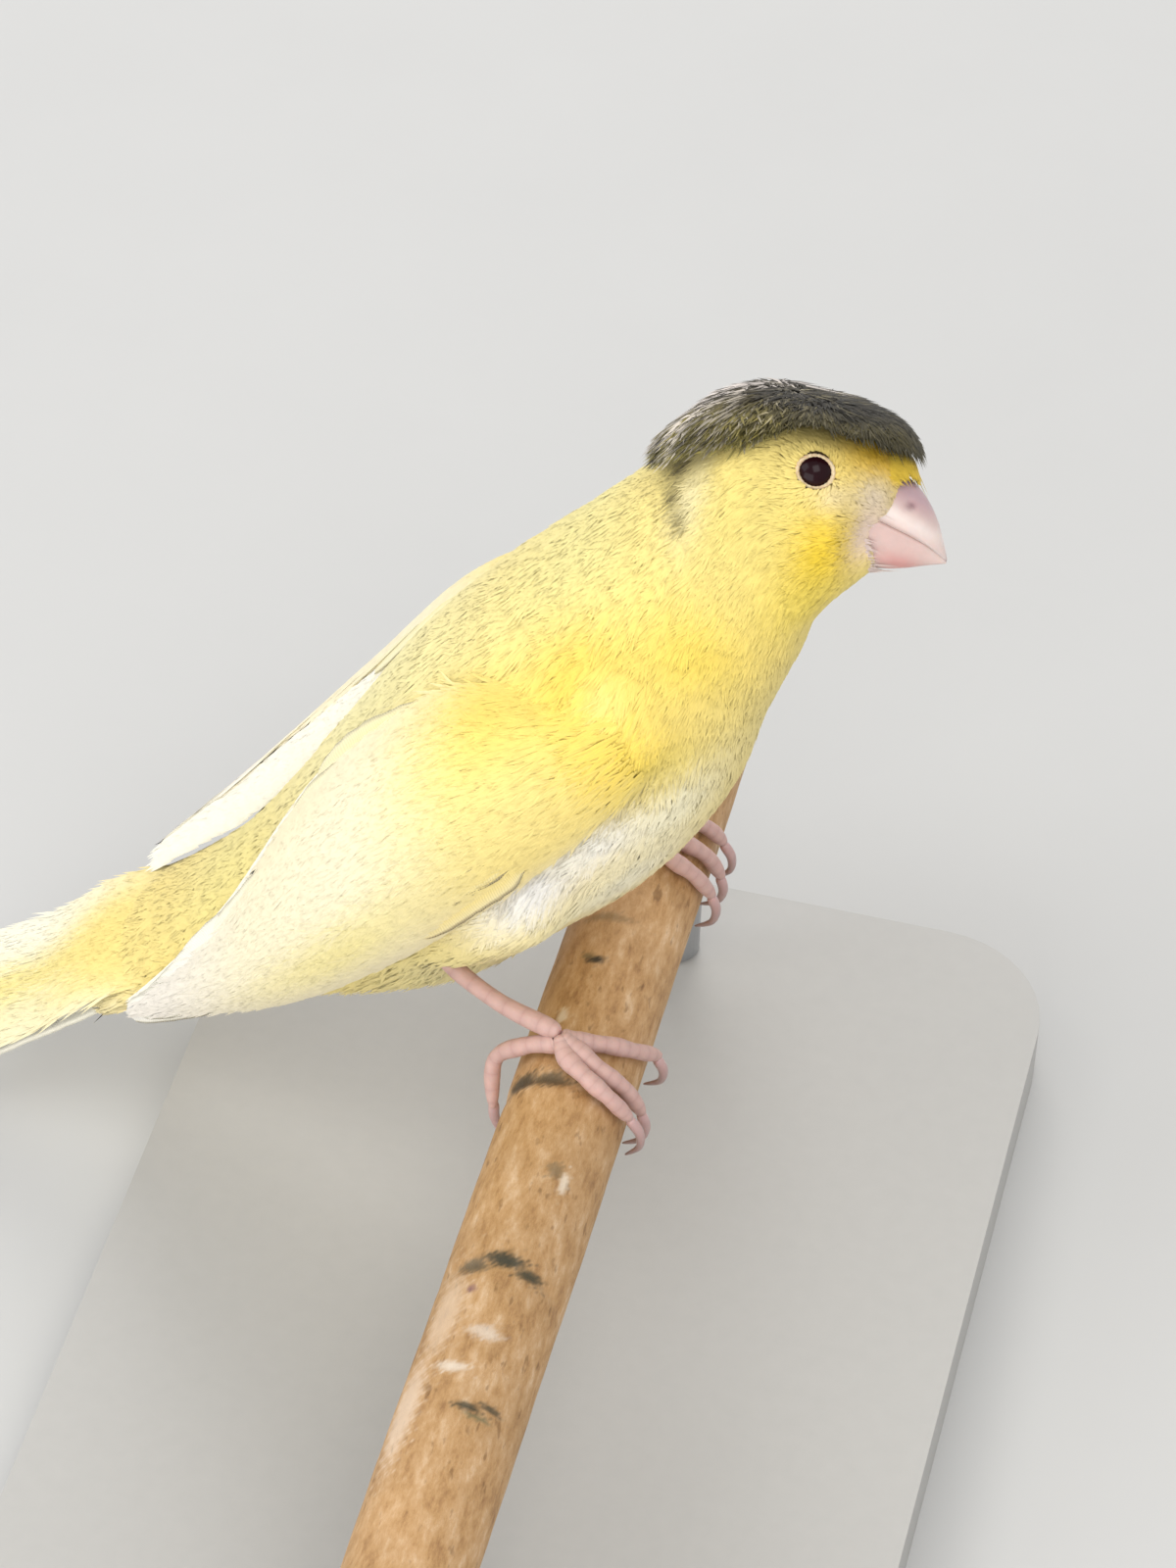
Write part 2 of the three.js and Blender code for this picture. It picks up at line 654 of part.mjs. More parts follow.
// Each foot: the joint at the top of the foot, the heel, and four toes. A toe is a row of
// degrees about the perch, place along it, and height of the toe's middle over the wood.
const FEET = {
  r: {
    joint: [-1.4, -17.0, 8.6],
    shin: [-8.6, -14.2, 8.3],
    heel: [-16.6, -11.0, 9.4],
    toes: [
      [[-12, -17.2, 1.6], [-40, -17.2, 1.7], [-72, -16.8, 2.3], [-100, -18.4, 1.7]],
      [[2, -16.6, 1.4], [26, -15.4, 1.2], [50, -13.8, 1.15], [76, -11.2, 1.1]],
      [[4, -17.8, 1.5], [28, -18.9, 1.25], [52, -18.8, 1.2], [80, -18.2, 1.15]],
      [[-2, -18.8, 1.4], [20, -20.6, 1.2], [42, -21.2, 1.15], [64, -20.9, 1.1]],
    ],
  },
  l: {
    joint: [-1.4, 12.6, 8.6],
    shin: [-8.6, 11.4, 8.3],
    heel: [-16.6, 10.0, 9.4],
    toes: [
      [[-12, 12.8, 1.6], [-40, 12.8, 1.7], [-72, 12.4, 2.3], [-100, 13.6, 1.7]],
      [[2, 12.0, 1.4], [26, 10.6, 1.2], [50, 10.8, 1.15], [78, 11.8, 1.1]],
      [[4, 13.4, 1.5], [28, 13.4, 1.25], [54, 14.2, 1.2], [84, 15.4, 1.15]],
      [[-2, 14.6, 1.4], [22, 16.2, 1.2], [46, 17.4, 1.15], [68, 18.2, 1.1]],
    ],
  },
};
const TOE_RADII = [1.05, 0.9, 0.85, 0.75];
const CLAW_TURN = 42;
const CLAW_RADII = [0.6, 0.5, 0.34, 0.14];
const LEG_RADII = [1.3, 1.0, 1.35];

function perchRows(rows) {
  return rows.map(([degrees, y, height]) => onPerch(degrees, y, height));
}
function clawRows(rows) {
  const [degrees, y, height] = rows[rows.length - 1];
  const before = rows[rows.length - 2];
  const sign = Math.sign(degrees);
  const drift = (y - before[1]) * 0.35;
  return [0, 1, 2, 3].map((i) => {
    const s = i / 3;
    const over = height + 0.9 * Math.sin(Math.PI * s) - 0.25 * s;
    return onPerch(degrees + sign * (7 + CLAW_TURN * s), y + drift * s, over);
  });
}
const plus = (radii, margin) => radii.map((r) => r + margin);

for (const side of ["r", "l"]) {
  const { joint, shin, heel, toes } = FEET[side];
  const line = [heel, shin, joint];
  const leg = limb(line, LEG_RADII, 10, 10);
  const out = side === "r" ? -1 : 1;
  const thigh = limb(
    [
      [-4.0, out * 10.4, 23.0],
      [-10.0, out * 10.8, 16.0],
      [heel[0] + 0.6, heel[1], heel[2] + 0.2],
    ],
    [5.0, 4.4, 1.9],
    14,
    10,
  );
  let taken = limb(line, plus(LEG_RADII, GAP), 10, 10);
  add("thigh_" + side, largest(thigh.subtract(grown).subtract(taken)), YELLOW, 0.9);
  add("leg_" + side, largest(leg.subtract(perchGrown).subtract(grown)), PINK, 0.6);
  toes.forEach((rows, i) => {
    const line = perchRows(rows);
    const toe = limb(line, TOE_RADII, 7, 9, 3);
    const shown = largest(toe.subtract(perchGrown).subtract(taken).subtract(grown));
    add("toe_" + side + (i + 1), shown, PINK, 0.6);
    taken = taken.add(limb(line, plus(TOE_RADII, GAP), 7, 9, 3));
    const hook = clawRows(rows);
    const claw = limb(hook, CLAW_RADII, 6, 6);
    const clawShown = largest(claw.subtract(perchGrown).subtract(taken));
    add("claw_" + side + (i + 1), clawShown, CLAW, 0.4);
    taken = taken.add(limb(hook, plus(CLAW_RADII, GAP), 6, 6));
  });
}
const wings = wingRight.add(wingLeft);

add("rump", rump, YELLOW, 0.9);
add("torso", torso, YELLOW, 0.9);
add("neck", neckShown, YELLOW, 0.9);
add("head", head, YELLOW, 0.9);
add("wing_r", wingRight, WHITE, 0.85);
add("wing_l", wingLeft, WHITE, 0.85);
add("tail", largest(tailForm().subtract(grown).subtract(wings)), WHITE, 0.85);
add("eye_r", ball(EYE_R, eyeRightAt, 12, 8), BLACK, 0.1);
add("eye_l", ball(EYE_R, eyeLeftAt, 12, 8), BLACK, 0.1);
add("bill_upper", billUpper, BILL, 0.45);
add("bill_lower", billLower, BILL, 0.45);
add("perch", solid(perchForm), WOOD, 0.8);

// The stand's base, with rounded corners.
const outline = new THREE.Shape();
const [x0, x1] = BASE_X;
const [y0, y1] = BASE_Y;
const c = BASE_CORNER;
outline.absarc(x1 - c, y1 - c, c, 0, Math.PI / 2);
outline.absarc(x0 + c, y1 - c, c, Math.PI / 2, Math.PI);
outline.absarc(x0 + c, y0 + c, c, Math.PI, 1.5 * Math.PI);
outline.absarc(x1 - c, y0 + c, c, 1.5 * Math.PI, 2 * Math.PI);
const base = new THREE.ExtrudeGeometry(outline, {
  depth: BASE_THICK,
  bevelEnabled: false,
  curveSegments: 5,
});
base.translate(0, 0, BASE_TOP - BASE_THICK);
add("stand_base", solid(base), STAND, 0.5);
ROD_Y.forEach((y, i) => {
  const low = BASE_TOP + GAP;
  const high = -PERCH_R + 1.2;
  const rod = new THREE.CylinderGeometry(ROD_R, ROD_R, high - low, 28, 1);
  rod.rotateX(Math.PI / 2);
  rod.translate(0, y, (high + low) / 2);
  add("stand_rod_" + (i + 1), largest(solid(rod).subtract(perchGrown)), STAND, 0.5);
});

const group = new THREE.Group();
group.add(nodes);
const bounds = new THREE.Box3().setFromObject(nodes);
const centre = bounds.getCenter(new THREE.Vector3());
nodes.position.set(-centre.x, -centre.y, -bounds.min.z);

export default group;
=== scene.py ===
# %% [markdown]
# # A crested canary on its perch
# The solids of the bird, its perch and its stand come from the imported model. This script dresses
# them: one skin, a coat of small feathers, flight feathers, a crest, and skin, horn and wood.
# Everything is worked out in millimetres in the bird's own frame and placed in metres.

from functools import partial

import bpy
import numpy as np
from mathutils import Matrix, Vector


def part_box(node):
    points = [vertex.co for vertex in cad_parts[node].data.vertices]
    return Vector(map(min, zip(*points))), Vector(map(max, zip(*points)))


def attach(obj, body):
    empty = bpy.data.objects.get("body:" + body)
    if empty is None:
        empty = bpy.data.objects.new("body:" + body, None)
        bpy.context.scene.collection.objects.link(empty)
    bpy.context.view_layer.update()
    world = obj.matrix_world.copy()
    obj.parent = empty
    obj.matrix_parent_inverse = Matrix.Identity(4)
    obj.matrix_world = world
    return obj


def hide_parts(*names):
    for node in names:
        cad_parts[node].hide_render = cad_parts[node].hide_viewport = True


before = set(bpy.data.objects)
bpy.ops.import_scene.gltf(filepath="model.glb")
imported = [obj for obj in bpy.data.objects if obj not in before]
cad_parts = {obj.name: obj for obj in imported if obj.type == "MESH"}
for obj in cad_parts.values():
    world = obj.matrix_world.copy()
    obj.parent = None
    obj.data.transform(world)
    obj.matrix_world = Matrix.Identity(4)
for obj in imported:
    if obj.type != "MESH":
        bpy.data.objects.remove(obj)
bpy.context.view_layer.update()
MM = 0.001
perch_low, perch_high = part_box("perch")
PERCH_NEAR = -88.0
PERCH_FAR = 42.0
PERCH_R = 6.0
middle_x, middle_z = (perch_low.x + perch_high.x) / 2, (perch_low.z + perch_high.z) / 2
ORIGIN = np.array([middle_x, perch_low.y - PERCH_NEAR * MM, middle_z])
print("bird frame starts at", ORIGIN.round(5))

# %% [markdown]
# ## The camera
# The photograph looks down on the bird's right side from close by. The camera keeps that place
# and direction, so that the render and the photograph can be laid over one another.

# %% Camera
CAMERA_AT = (76.534, -351.722, 386.325)
CAMERA_RIGHT = (0.969088, 0.245478, 0.024677)
CAMERA_UP = (-0.190595, 0.681383, 0.706676)
CAMERA_FORWARD = (-0.156658, 0.689535, -0.707107)
FOCAL_MM = 121.5


def add_camera():
    """A camera whose axes are the three given directions, with a long lens and no shift."""
    data = bpy.data.cameras.new("camera")
    data.lens = FOCAL_MM
    data.sensor_width = 36.0
    data.clip_start = 0.01
    turn = np.identity(4)
    turn[:3, 0] = CAMERA_RIGHT
    turn[:3, 1] = CAMERA_UP
    turn[:3, 2] = -np.array(CAMERA_FORWARD)
    turn[:3, 3] = np.array(CAMERA_AT) * MM + ORIGIN
    camera = bpy.data.objects.new("camera", data)
    camera.matrix_world = Matrix(turn.tolist())
    bpy.context.scene.collection.objects.link(camera)
    bpy.context.scene.camera = camera
    return camera


camera = add_camera()
print("camera at", tuple(round(x, 3) for x in camera.location))

# %% [markdown]
# ## Light
# A museum shelf has plain pale surroundings and large soft lamps. The key lamp stands high on the
# near side, a little ahead of the bird, as the daylight does in the photograph. A broad lamp low
# on the near side fills, one behind the tail lights the back, and one stands on the far side.


# %% Studio
def area_lamp(name, at, towards, size, power, colour):
    """A square lamp at a point, turned to face another point."""
    data = bpy.data.lights.new(name, "AREA")
    data.size = size
    data.energy = power
    data.color = colour
    lamp = bpy.data.objects.new(name, data)
    at, towards = np.array(at), np.array(towards)
    back = (at - towards) / np.linalg.norm(at - towards)
    side = np.cross([0, 0, 1], back)
    side /= np.linalg.norm(side)
    turn = np.identity(4)
    turn[:3, 0], turn[:3, 1], turn[:3, 2] = side, np.cross(back, side), back
    turn[:3, 3] = at
    lamp.matrix_world = Matrix(turn.tolist())
    bpy.context.scene.collection.objects.link(lamp)


BIRD_AT = ORIGIN + np.array([-10, 0, 35]) * MM
# name, metres ahead, left and up from the bird, metres square, power, colour
LAMPS = [
    ("lamp_key", (0.22, -0.34, 0.62), 0.42, 1.85, (1.0, 0.98, 0.95)),
    ("lamp_fill", (-0.15, -0.62, 0.02), 0.60, 2.7, (0.97, 0.98, 1.0)),
    ("lamp_rear", (-0.55, -0.28, 0.55), 0.50, 1.7, (0.98, 0.99, 1.0)),
    ("lamp_back", (-0.10, 0.60, 0.45), 0.45, 2.0, (1.0, 0.98, 0.95)),
]
SKY_COLOUR = (0.92, 0.94, 1.0, 1)
SKY_STRENGTH = 0.74

for lamp_name, away, size, power, colour in LAMPS:
    area_lamp(lamp_name, BIRD_AT + away, BIRD_AT, size, power, colour)

world = bpy.data.worlds.new("studio")
world.use_nodes = True
background = world.node_tree.nodes["Background"].inputs
background["Color"].default_value = SKY_COLOUR
background["Strength"].default_value = SKY_STRENGTH
bpy.context.scene.world = world
bpy.context.scene.view_settings.view_transform = "Standard"
print(len(LAMPS), "lamps and a pale sky")


# %% [markdown]
# ## Numbers to meshes
# Each shape below is a grid of points, and these helpers turn grids into closed meshes. Whole
# arrays go into the mesh at once, which is far quicker than adding one vertex at a time.


# %% Mesh helpers
def placed(points):
    """Millimetres in the bird's frame to metres in the model's frame."""
    return np.asarray(points, float).reshape(-1, 3) * MM + ORIGIN


def mesh_object(name, points, faces):
    """A smooth mesh object from points in the bird's frame and rows of three indices."""
    faces = np.asarray(faces, np.int32)
    mesh = bpy.data.meshes.new(name)
    mesh.vertices.add(len(points))
    mesh.vertices.foreach_set("co", placed(points).astype(np.float32).ravel())
    mesh.loops.add(faces.size)
    mesh.loops.foreach_set("vertex_index", faces.ravel())
    mesh.polygons.add(len(faces))
    mesh.polygons.foreach_set("loop_start", np.arange(len(faces), dtype=np.int32) * faces.shape[1])
    mesh.update(calc_edges=True)
    mesh.polygons.foreach_set("use_smooth", np.ones(len(faces), bool))
    made = bpy.data.objects.new(name, mesh)
    bpy.context.scene.collection.objects.link(made)
    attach(made, "root")
    return made


def ring_faces(rows, around):
    """Triangles of a tube of rings, wrapped round, with one more point closing each end."""
    i = np.arange(rows - 1)[:, None] * around
    j = np.arange(around)[None, :]
    k = (j + 1) % around
    a, b, c, d = i + j, i + k, i + around + k, i + around + j
    sides = np.concatenate([np.stack([a, b, c], -1), np.stack([a, c, d], -1)]).reshape(-1, 3)
    first, last = rows * around, rows * around + 1
    j, k = j[0], k[0]
    low = np.stack([np.full(around, first), k, j], -1)
    top = (rows - 1) * around
    high = np.stack([np.full(around, last), top + j, top + k], -1)
    return np.concatenate([sides, low, high])


def outward(points, faces):
    """The faces, turned round if the closed mesh that they make is inside out."""
    p, q, r = (points[faces[:, k]] for k in range(3))
    inside_out = np.einsum("ij,ij->i", p, np.cross(q, r)).sum() < 0
    return faces[:, ::-1] if inside_out else faces


def tube_points(grid):
    """Points of a closed tube from a grid of rings, with the middle of each end ring added."""
    ends = np.stack([grid[0].mean(0), grid[-1].mean(0)])
    return np.concatenate([grid.reshape(-1, 3), ends])


def tube(name, grid):
    """A closed tube as a mesh object, from a grid of rings."""
    points = tube_points(grid)
    return mesh_object(name, points, outward(points, ring_faces(*grid.shape[:2])))


def give(made, name, values):
    """Stores a colour for each vertex under a name that a material can read."""
    values = np.asarray(values, float)
    colours = np.ones((len(values), 4), np.float32)
    colours[:, :3] = values
    attribute = made.data.attributes.new(name, "FLOAT_COLOR", "POINT")
    attribute.data.foreach_set("color", colours.ravel())


def unit(v):
    """Vectors made one long."""
    return v / np.maximum(np.linalg.norm(v, axis=-1, keepdims=True), 1e-9)


def along(rows, t):
    """A smooth curve through evenly numbered rows: between two rows each number follows the
    cubic whose slope at a row is half the step between that row's neighbours."""
    rows = np.asarray(rows, float)
    last = len(rows) - 1
    at = np.clip(np.asarray(t, float), 0, 1) * last
    i = np.minimum(np.floor(at).astype(int), last - 1)
    s = (at - i)[..., None]
    a, b, c, d = (rows[np.clip(i + k, 0, last)] for k in (-1, 0, 1, 2))
    square = 2 * a - 5 * b + 4 * c - d
    cubic = -a + 3 * b - 3 * c + d
    return 0.5 * (2 * b + (c - a) * s + square * s**2 + cubic * s**3)


def step(low, high, x):
    """From 0 at low to 1 at high, eased at both ends."""
    s = np.clip((np.asarray(x, float) - low) / (high - low), 0, 1)
    return s * s * (3 - 2 * s)


def hump(x, middle, spread):
    """A bell curve: e to the minus square of the distance from its middle, in spreads."""
    return np.exp(-(((x - middle) / spread) ** 2))


# %% [markdown]
# ## The body's form
# A bird's body under its feathers is a spindle that bends up into the neck and turns into the
# head. It is made as cross sections along the spine, each an oval with its own height above and
# below, and a smooth curve runs through them. The same numbers made the solids.

# %% Body
# From the tail forward: x, y, z, half width, height above and below, roll and steepness in degrees
BODY_ROWS = [
    [-56.5, 2.2, -17.0, 7.2, 1.7, 1.9, -12, 40],
    [-50.0, 2.0, -11.6, 8.2, 2.9, 3.4, -10, 42],
    [-42.0, 1.2, -4.5, 8.7, 4.4, 7.0, -6, 45],
    [-34.0, 0.3, 3.4, 9.5, 6.4, 12.8, 0, 47],
    [-26.0, 0, 11.8, 11.7, 9.0, 16.8, 0, 48],
    [-17.5, 0, 21.0, 13.9, 12.0, 17.9, 0, 50],
    [-9.5, 0, 31.0, 14.9, 14.0, 18.4, 0, 53],
    [-2.6, 0, 41.5, 14.2, 13.3, 17.1, 2, 54],
    [3.2, 0, 51.0, 12.4, 11.4, 14.5, 8, 46],
    [8.6, 0, 59.4, 10.9, 10.2, 13.3, 18, 34],
]
# The same in the head's own frame: forward, up, right, and the rest as before
HEAD_ROWS = [
    [-4.8, -1.2, 0, 9.4, 8.3, 13.9, 28, 20],
    [-1.2, -0.6, 0, 8.8, 8.1, 11.2, 35, 9],
    [1.8, -0.6, 0, 7.7, 7.5, 8.4, 37, 2],
    [4.0, -0.8, 0, 6.1, 6.3, 6.2, 37, -2],
    [5.6, -0.9, 0, 4.2, 4.9, 4.4, 37, -4],
    [7.0, -0.6, 0, 1.9, 3.0, 3.4, 37, -4],
]
HEAD_CENTRE = np.array([18.2, 0, 68.6])
HEAD_YAW = (0.9985, -0.055, 0.0)
HEAD_PITCH = -4.0
HEAD_ROLL = 37.0


def turned(v, axis, degrees):
    """A vector turned about a unit axis."""
    v, axis = np.asarray(v, float), np.asarray(axis, float)
    a = np.radians(degrees)
    return v * np.cos(a) + np.cross(axis, v) * np.sin(a) + axis * (v @ axis) * (1 - np.cos(a))


def head_axes():
    """The head's forward, up and right: level, then pitched, then rolled about forward."""
    forward = unit(np.array(HEAD_YAW))
    level = unit(np.cross([0, 0, 1], forward))
    forward = turned(forward, level, -HEAD_PITCH)
    up = turned(unit(np.cross(forward, level)), forward, -HEAD_ROLL)
    return np.stack([forward, up, np.cross(forward, up)])


HEAD = head_axes()


def head_point(f, u, r):
    """Points given as forward, up and right in the head's own frame."""
    f, u, r = np.broadcast_arrays(f, u, r)
    return HEAD_CENTRE + np.stack([f, u, r], -1) @ HEAD


def in_head(points):
    """Forward, up and right of points, from the middle of the head."""
    return (points - HEAD_CENTRE) @ HEAD.T


SPINE_ROWS = BODY_ROWS + [list(head_point(*row[:3])) + row[3:] for row in HEAD_ROWS]
LAST_ROW = len(SPINE_ROWS) - 1
TAIL_CLOSES = 0.65
FACE_CLOSES = 1.1


def spine(t):
    """Centre, way, left and back of the moving frame at t, and the oval's three sizes."""
    row = along(SPINE_ROWS, t)
    steep, roll = np.radians(row[..., 7]), -np.radians(row[..., 6])
    zero = np.zeros_like(steep)
    way = np.stack([np.cos(steep), zero, np.sin(steep)], -1)
    left = np.stack(
        [-np.sin(steep) * np.sin(roll), np.cos(roll), np.cos(steep) * np.sin(roll)], -1
    )
    back = unit(np.cross(way, left))
    return row[..., :3], way, left, back, row[..., 3], row[..., 4], row[..., 5]


def opened(t):
    """How far an oval has opened: a quarter circle over so many rows at either end."""
    tail = np.clip(t * LAST_ROW / TAIL_CLOSES, 0, 1)
    face = np.clip((1 - t) * LAST_ROW / FACE_CLOSES, 0, 1)
    return np.sqrt(1 - (1 - tail) ** 2) * np.sqrt(1 - (1 - face) ** 2)


def body_at(t, turn, lift=0.0):
    """The body's surface: an oval at t, swept round by turn, grown outward by lift."""
    t, turn, lift = np.broadcast_arrays(np.clip(t, 0, 1), turn, lift)
    centre, way, left, back, half, above, below = spine(t)
    tall = np.where(np.sin(turn) > 0, above, below)
    wide = opened(t)
    across = (np.cos(turn) * (half + lift) * wide)[..., None]
    rise = (np.sin(turn) * (tall + lift) * wide)[..., None]
    shift = (np.where(t > 0.5, 1, -1) * lift * (1 - wide))[..., None]
    return centre + way * shift + left * across + back * rise


print("the spine has", len(SPINE_ROWS), "cross sections")

# %% [markdown]
# ## Wings and thighs under the coat
# A folded wing is a thin curved plate on the side of the body. Its front half is buried in the
# coat, so the skin rises over it in one smooth swell. That swell is found by sending rays out of
# the spine and noting how far the plate and the thigh stand out past the body.

# %% Wing plates
WING_UPPER = {
    "r": [
        [7.0, -9.5, 51.0],
        [-5.5, -9.6, 49.5],
        [-16.5, -7.8, 43.8],
        [-27.2, -8.4, 30.0],
        [-37.0, -9.4, 9.8],
        [-48.6, -9.0, -9.8],
    ],
    "l": [
        [7.0, 9.5, 51.0],
        [-4.5, 8.6, 46.6],
        [-15.9, 6.0, 40.4],
        [-27.2, 7.8, 25.2],
        [-39.0, 9.2, 9.0],
        [-51.8, 9.2, -7.4],
    ],
}
WING_LOWER = {
    "r": [
        [8.4, -12.6, 46.5],
        [-0.5, -16.2, 34.0],
        [-11.5, -16.4, 20.5],
        [-24.0, -14.4, 6.5],
        [-36.5, -12.0, -4.0],
        [-48.4, -9.6, -10.8],
    ],
    "l": [
        [8.4, 12.6, 46.5],
        [-0.5, 16.2, 34.0],
        [-12.0, 16.4, 20.8],
        [-25.5, 14.6, 7.4],
        [-38.8, 12.6, -1.6],
        [-51.4, 9.9, -8.2],
    ],
}
# Which way along y each side of the bird lies
OUT = {"r": -1, "l": 1}
SHOULDER_ROW = 8.1
WING_BULGE = [[2.0], [4.4], [5.4], [4.6], [2.4], [0.1]]
WING_THICK = [[2.0], [2.4], [2.2], [1.5], [0.9], [0.45]]
FLESH_SHARE = 0.8


def wing_at(side, a, b, lift=0.0):
    """The wing's middle surface: a from shoulder to tip, b from the lower edge at -1 to the
    upper at 1, bulged outward by a parabola across, and raised by lift."""
    a, b, lift = np.broadcast_arrays(a, b, lift)
    upper, lower = along(WING_UPPER[side], a), along(WING_LOWER[side], a)
    way = spine(SHOULDER_ROW / LAST_ROW * (1 - np.clip(a, 0, 1)))[1]
    out = unit(np.cross(unit(upper - lower), way))
    out = np.where(out[..., 1:2] * lower[..., 1:2] < 0, -out, out)
    bulge = along(WING_BULGE, a)[..., 0] * (1 - b * b) + lift
    return lower + (upper - lower) * ((1 + b) / 2)[..., None] + out * bulge[..., None]


def wing_core(a):
    """Half the thickness of the flesh and coverts of a wing at a."""
    return along(WING_THICK, a)[..., 0] * FLESH_SHARE


# The power by which a limb's end closes, and the share by which its rings crowd at the ends
LIMB_ENDS = 8
LIMB_CROWD = 0.4


def limb_grid(points, radii, rows, around, swell=None):
    """A round limb along a smooth curve through points: a ring of the radius there at each
    step, closing to a round end. swell gives a factor for each step."""
    t = 0.5 - 0.5 * np.cos(np.linspace(0, np.pi, rows))
    t = (1 - LIMB_CROWD) * np.linspace(0, 1, rows) + LIMB_CROWD * t
    t = np.clip(t, 0.004, 0.996)
    line = np.column_stack([points, radii])
    row = along(line, t)
    way = unit(along(line, t + 0.01)[:, :3] - along(line, t - 0.01)[:, :3])
    side = unit(np.array([0, 1.0, 0]) - way * way[:, 1:2])
    up = np.cross(way, side)
    wide = row[:, 3] * np.sqrt(np.maximum(1 - (2 * t - 1) ** LIMB_ENDS, 0))
    if swell is not None:
        wide = wide * swell(t)
    turn = np.linspace(0, 2 * np.pi, around, endpoint=False)
    circle = np.cos(turn)[None, :, None] * side[:, None] + np.sin(turn)[None, :, None] * up[:, None]
    return row[:, None, :3] + circle * wide[:, None, None]


HEEL = {"r": [-16.6, -11.0, 9.4], "l": [-16.6, 10.0, 9.4]}
THIGH_RADII = [5.0, 4.4, 1.9]


def thigh_line(side):
    """Three points down the thigh, from inside the body to the heel."""
    x, y, z = HEEL[side]
    return [[-4.0, OUT[side] * 10.4, 23.0], [-10.0, OUT[side] * 10.8, 16.0], [x + 0.6, y, z + 0.2]]


# %% The swell over wings and thighs
SWELL_ROWS = 150
SWELL_AROUND = 144
# The rows between which a wing or a thigh can stand out, and the rounds of smoothing
SWELL_FIRST = 4
SWELL_LAST = SWELL_ROWS - 34
SWELL_SMOOTH = 6
# Along the wing: where the coat's part of it ends, where it sinks under the coat and how deep
WING_COAT_END = 0.70
WING_SINKS = (0.42, 0.62)
WING_SUNK = 1.5
WING_FRONT = 0.14


def grid_triangles(grid):
    """The two triangles of each cell of a grid of points, as rows of three points."""
    a, b, c, d = grid[:-1, :-1], grid[1:, :-1], grid[1:, 1:], grid[:-1, 1:]
    return np.concatenate(
        [np.stack([a, b, c], -2).reshape(-1, 3, 3), np.stack([a, c, d], -2).reshape(-1, 3, 3)]
    )


def carried_triangles():
    """The outer sides of both wing plates' front halves, and both thighs, as triangles."""
    a, b = np.meshgrid(np.linspace(0.0, WING_COAT_END, 26), np.linspace(-1, 1, 15), indexing="ij")
    front = np.sqrt(np.clip(1 - (1 - np.clip(a / WING_FRONT, 0, 1)) ** 2, 0, 1))
    rim = np.sqrt(np.clip(1 - np.abs(b) ** 6, 0, 1))
    lift = wing_core(a) * front * rim - WING_SUNK * step(*WING_SINKS, a)
    found = [grid_triangles(wing_at(side, a, b, lift)) for side in "rl"]
    for side in "rl":
        grid = limb_grid(thigh_line(side), THIGH_RADII, 12, 16)
        found.append(grid_triangles(np.concatenate([grid, grid[:, :1]], 1)))
    return np.concatenate(found)


def swell_grid():
    """How far the carried parts stand out past the body, by rays in each cross section: where
    a ray meets a triangle, its length less the body's own radius, then smoothed. A ray meets a
    triangle where its shares u and v of the two edges are positive and come to at most one."""
    t = np.linspace(0, 1, SWELL_ROWS)
    turn = np.linspace(0, 2 * np.pi, SWELL_AROUND, endpoint=False)
    t2, turn2 = np.meshgrid(t, turn, indexing="ij")
    reach = body_at(t2, turn2) - spine(t2)[0]
    radius = np.linalg.norm(reach, axis=-1)
    far = np.zeros_like(radius)
    triangles = carried_triangles()
    corner = triangles[:, 0]
    edge, other = triangles[:, 1] - corner, triangles[:, 2] - corner
    for i in range(SWELL_FIRST, SWELL_LAST):
        ray = unit(reach[i])[:, None]
        across = np.cross(ray, other[None])
        size = np.einsum("rtk,tk->rt", across, edge)
        size = np.where(np.abs(size) < 1e-9, 1e-9, size)
        start = spine(t[i])[0] - corner
        turned_start = np.cross(start, edge)
        u = np.einsum("rtk,tk->rt", across, start) / size
        v = np.einsum("rtk,tk->rt", np.broadcast_to(ray, across.shape), turned_start) / size
        length = np.einsum("tk,tk->t", other, turned_start)[None] / size
        hit = (u >= 0) & (v >= 0) & (u + v <= 1) & (length > 0)
        far[i] = np.where(hit, length, 0).max(1)
    rise = np.clip(far - radius, 0, None)
    for _ in range(SWELL_SMOOTH):
        wrap = np.pad(rise, ((1, 1), (0, 0)), mode="edge")
        rise = (wrap[:-2] + 2 * wrap[1:-1] + wrap[2:]) / 4
        rise = (np.roll(rise, 1, 1) + 2 * rise + np.roll(rise, -1, 1)) / 4
    return rise


SWELL = swell_grid()
print("the coat swells at most", SWELL.max().round(2), "mm over the wings")


def swell_at(t, turn):
    """The swell at any t and turn, blended between the four nearest places of its grid."""
    x = np.clip(t, 0, 1) * (SWELL_ROWS - 1)
    y = np.mod(turn, 2 * np.pi) / (2 * np.pi) * SWELL_AROUND
    i, j = np.minimum(x.astype(int), SWELL_ROWS - 2), y.astype(int) % SWELL_AROUND
    k = (j + 1) % SWELL_AROUND
    fx, fy = x - i, y - np.floor(y)
    low = SWELL[i, j] * (1 - fy) + SWELL[i, k] * fy
    high = SWELL[i + 1, j] * (1 - fy) + SWELL[i + 1, k] * fy
    return low * (1 - fx) + high * fx


# Beside the gape: how deep the coat is drawn in, where along the spine, and how high round it
GAPE_DEEP = 2.1
GAPE_STARTS = (0.82, 0.895)
GAPE_HEIGHT = (-0.32, 0.42)


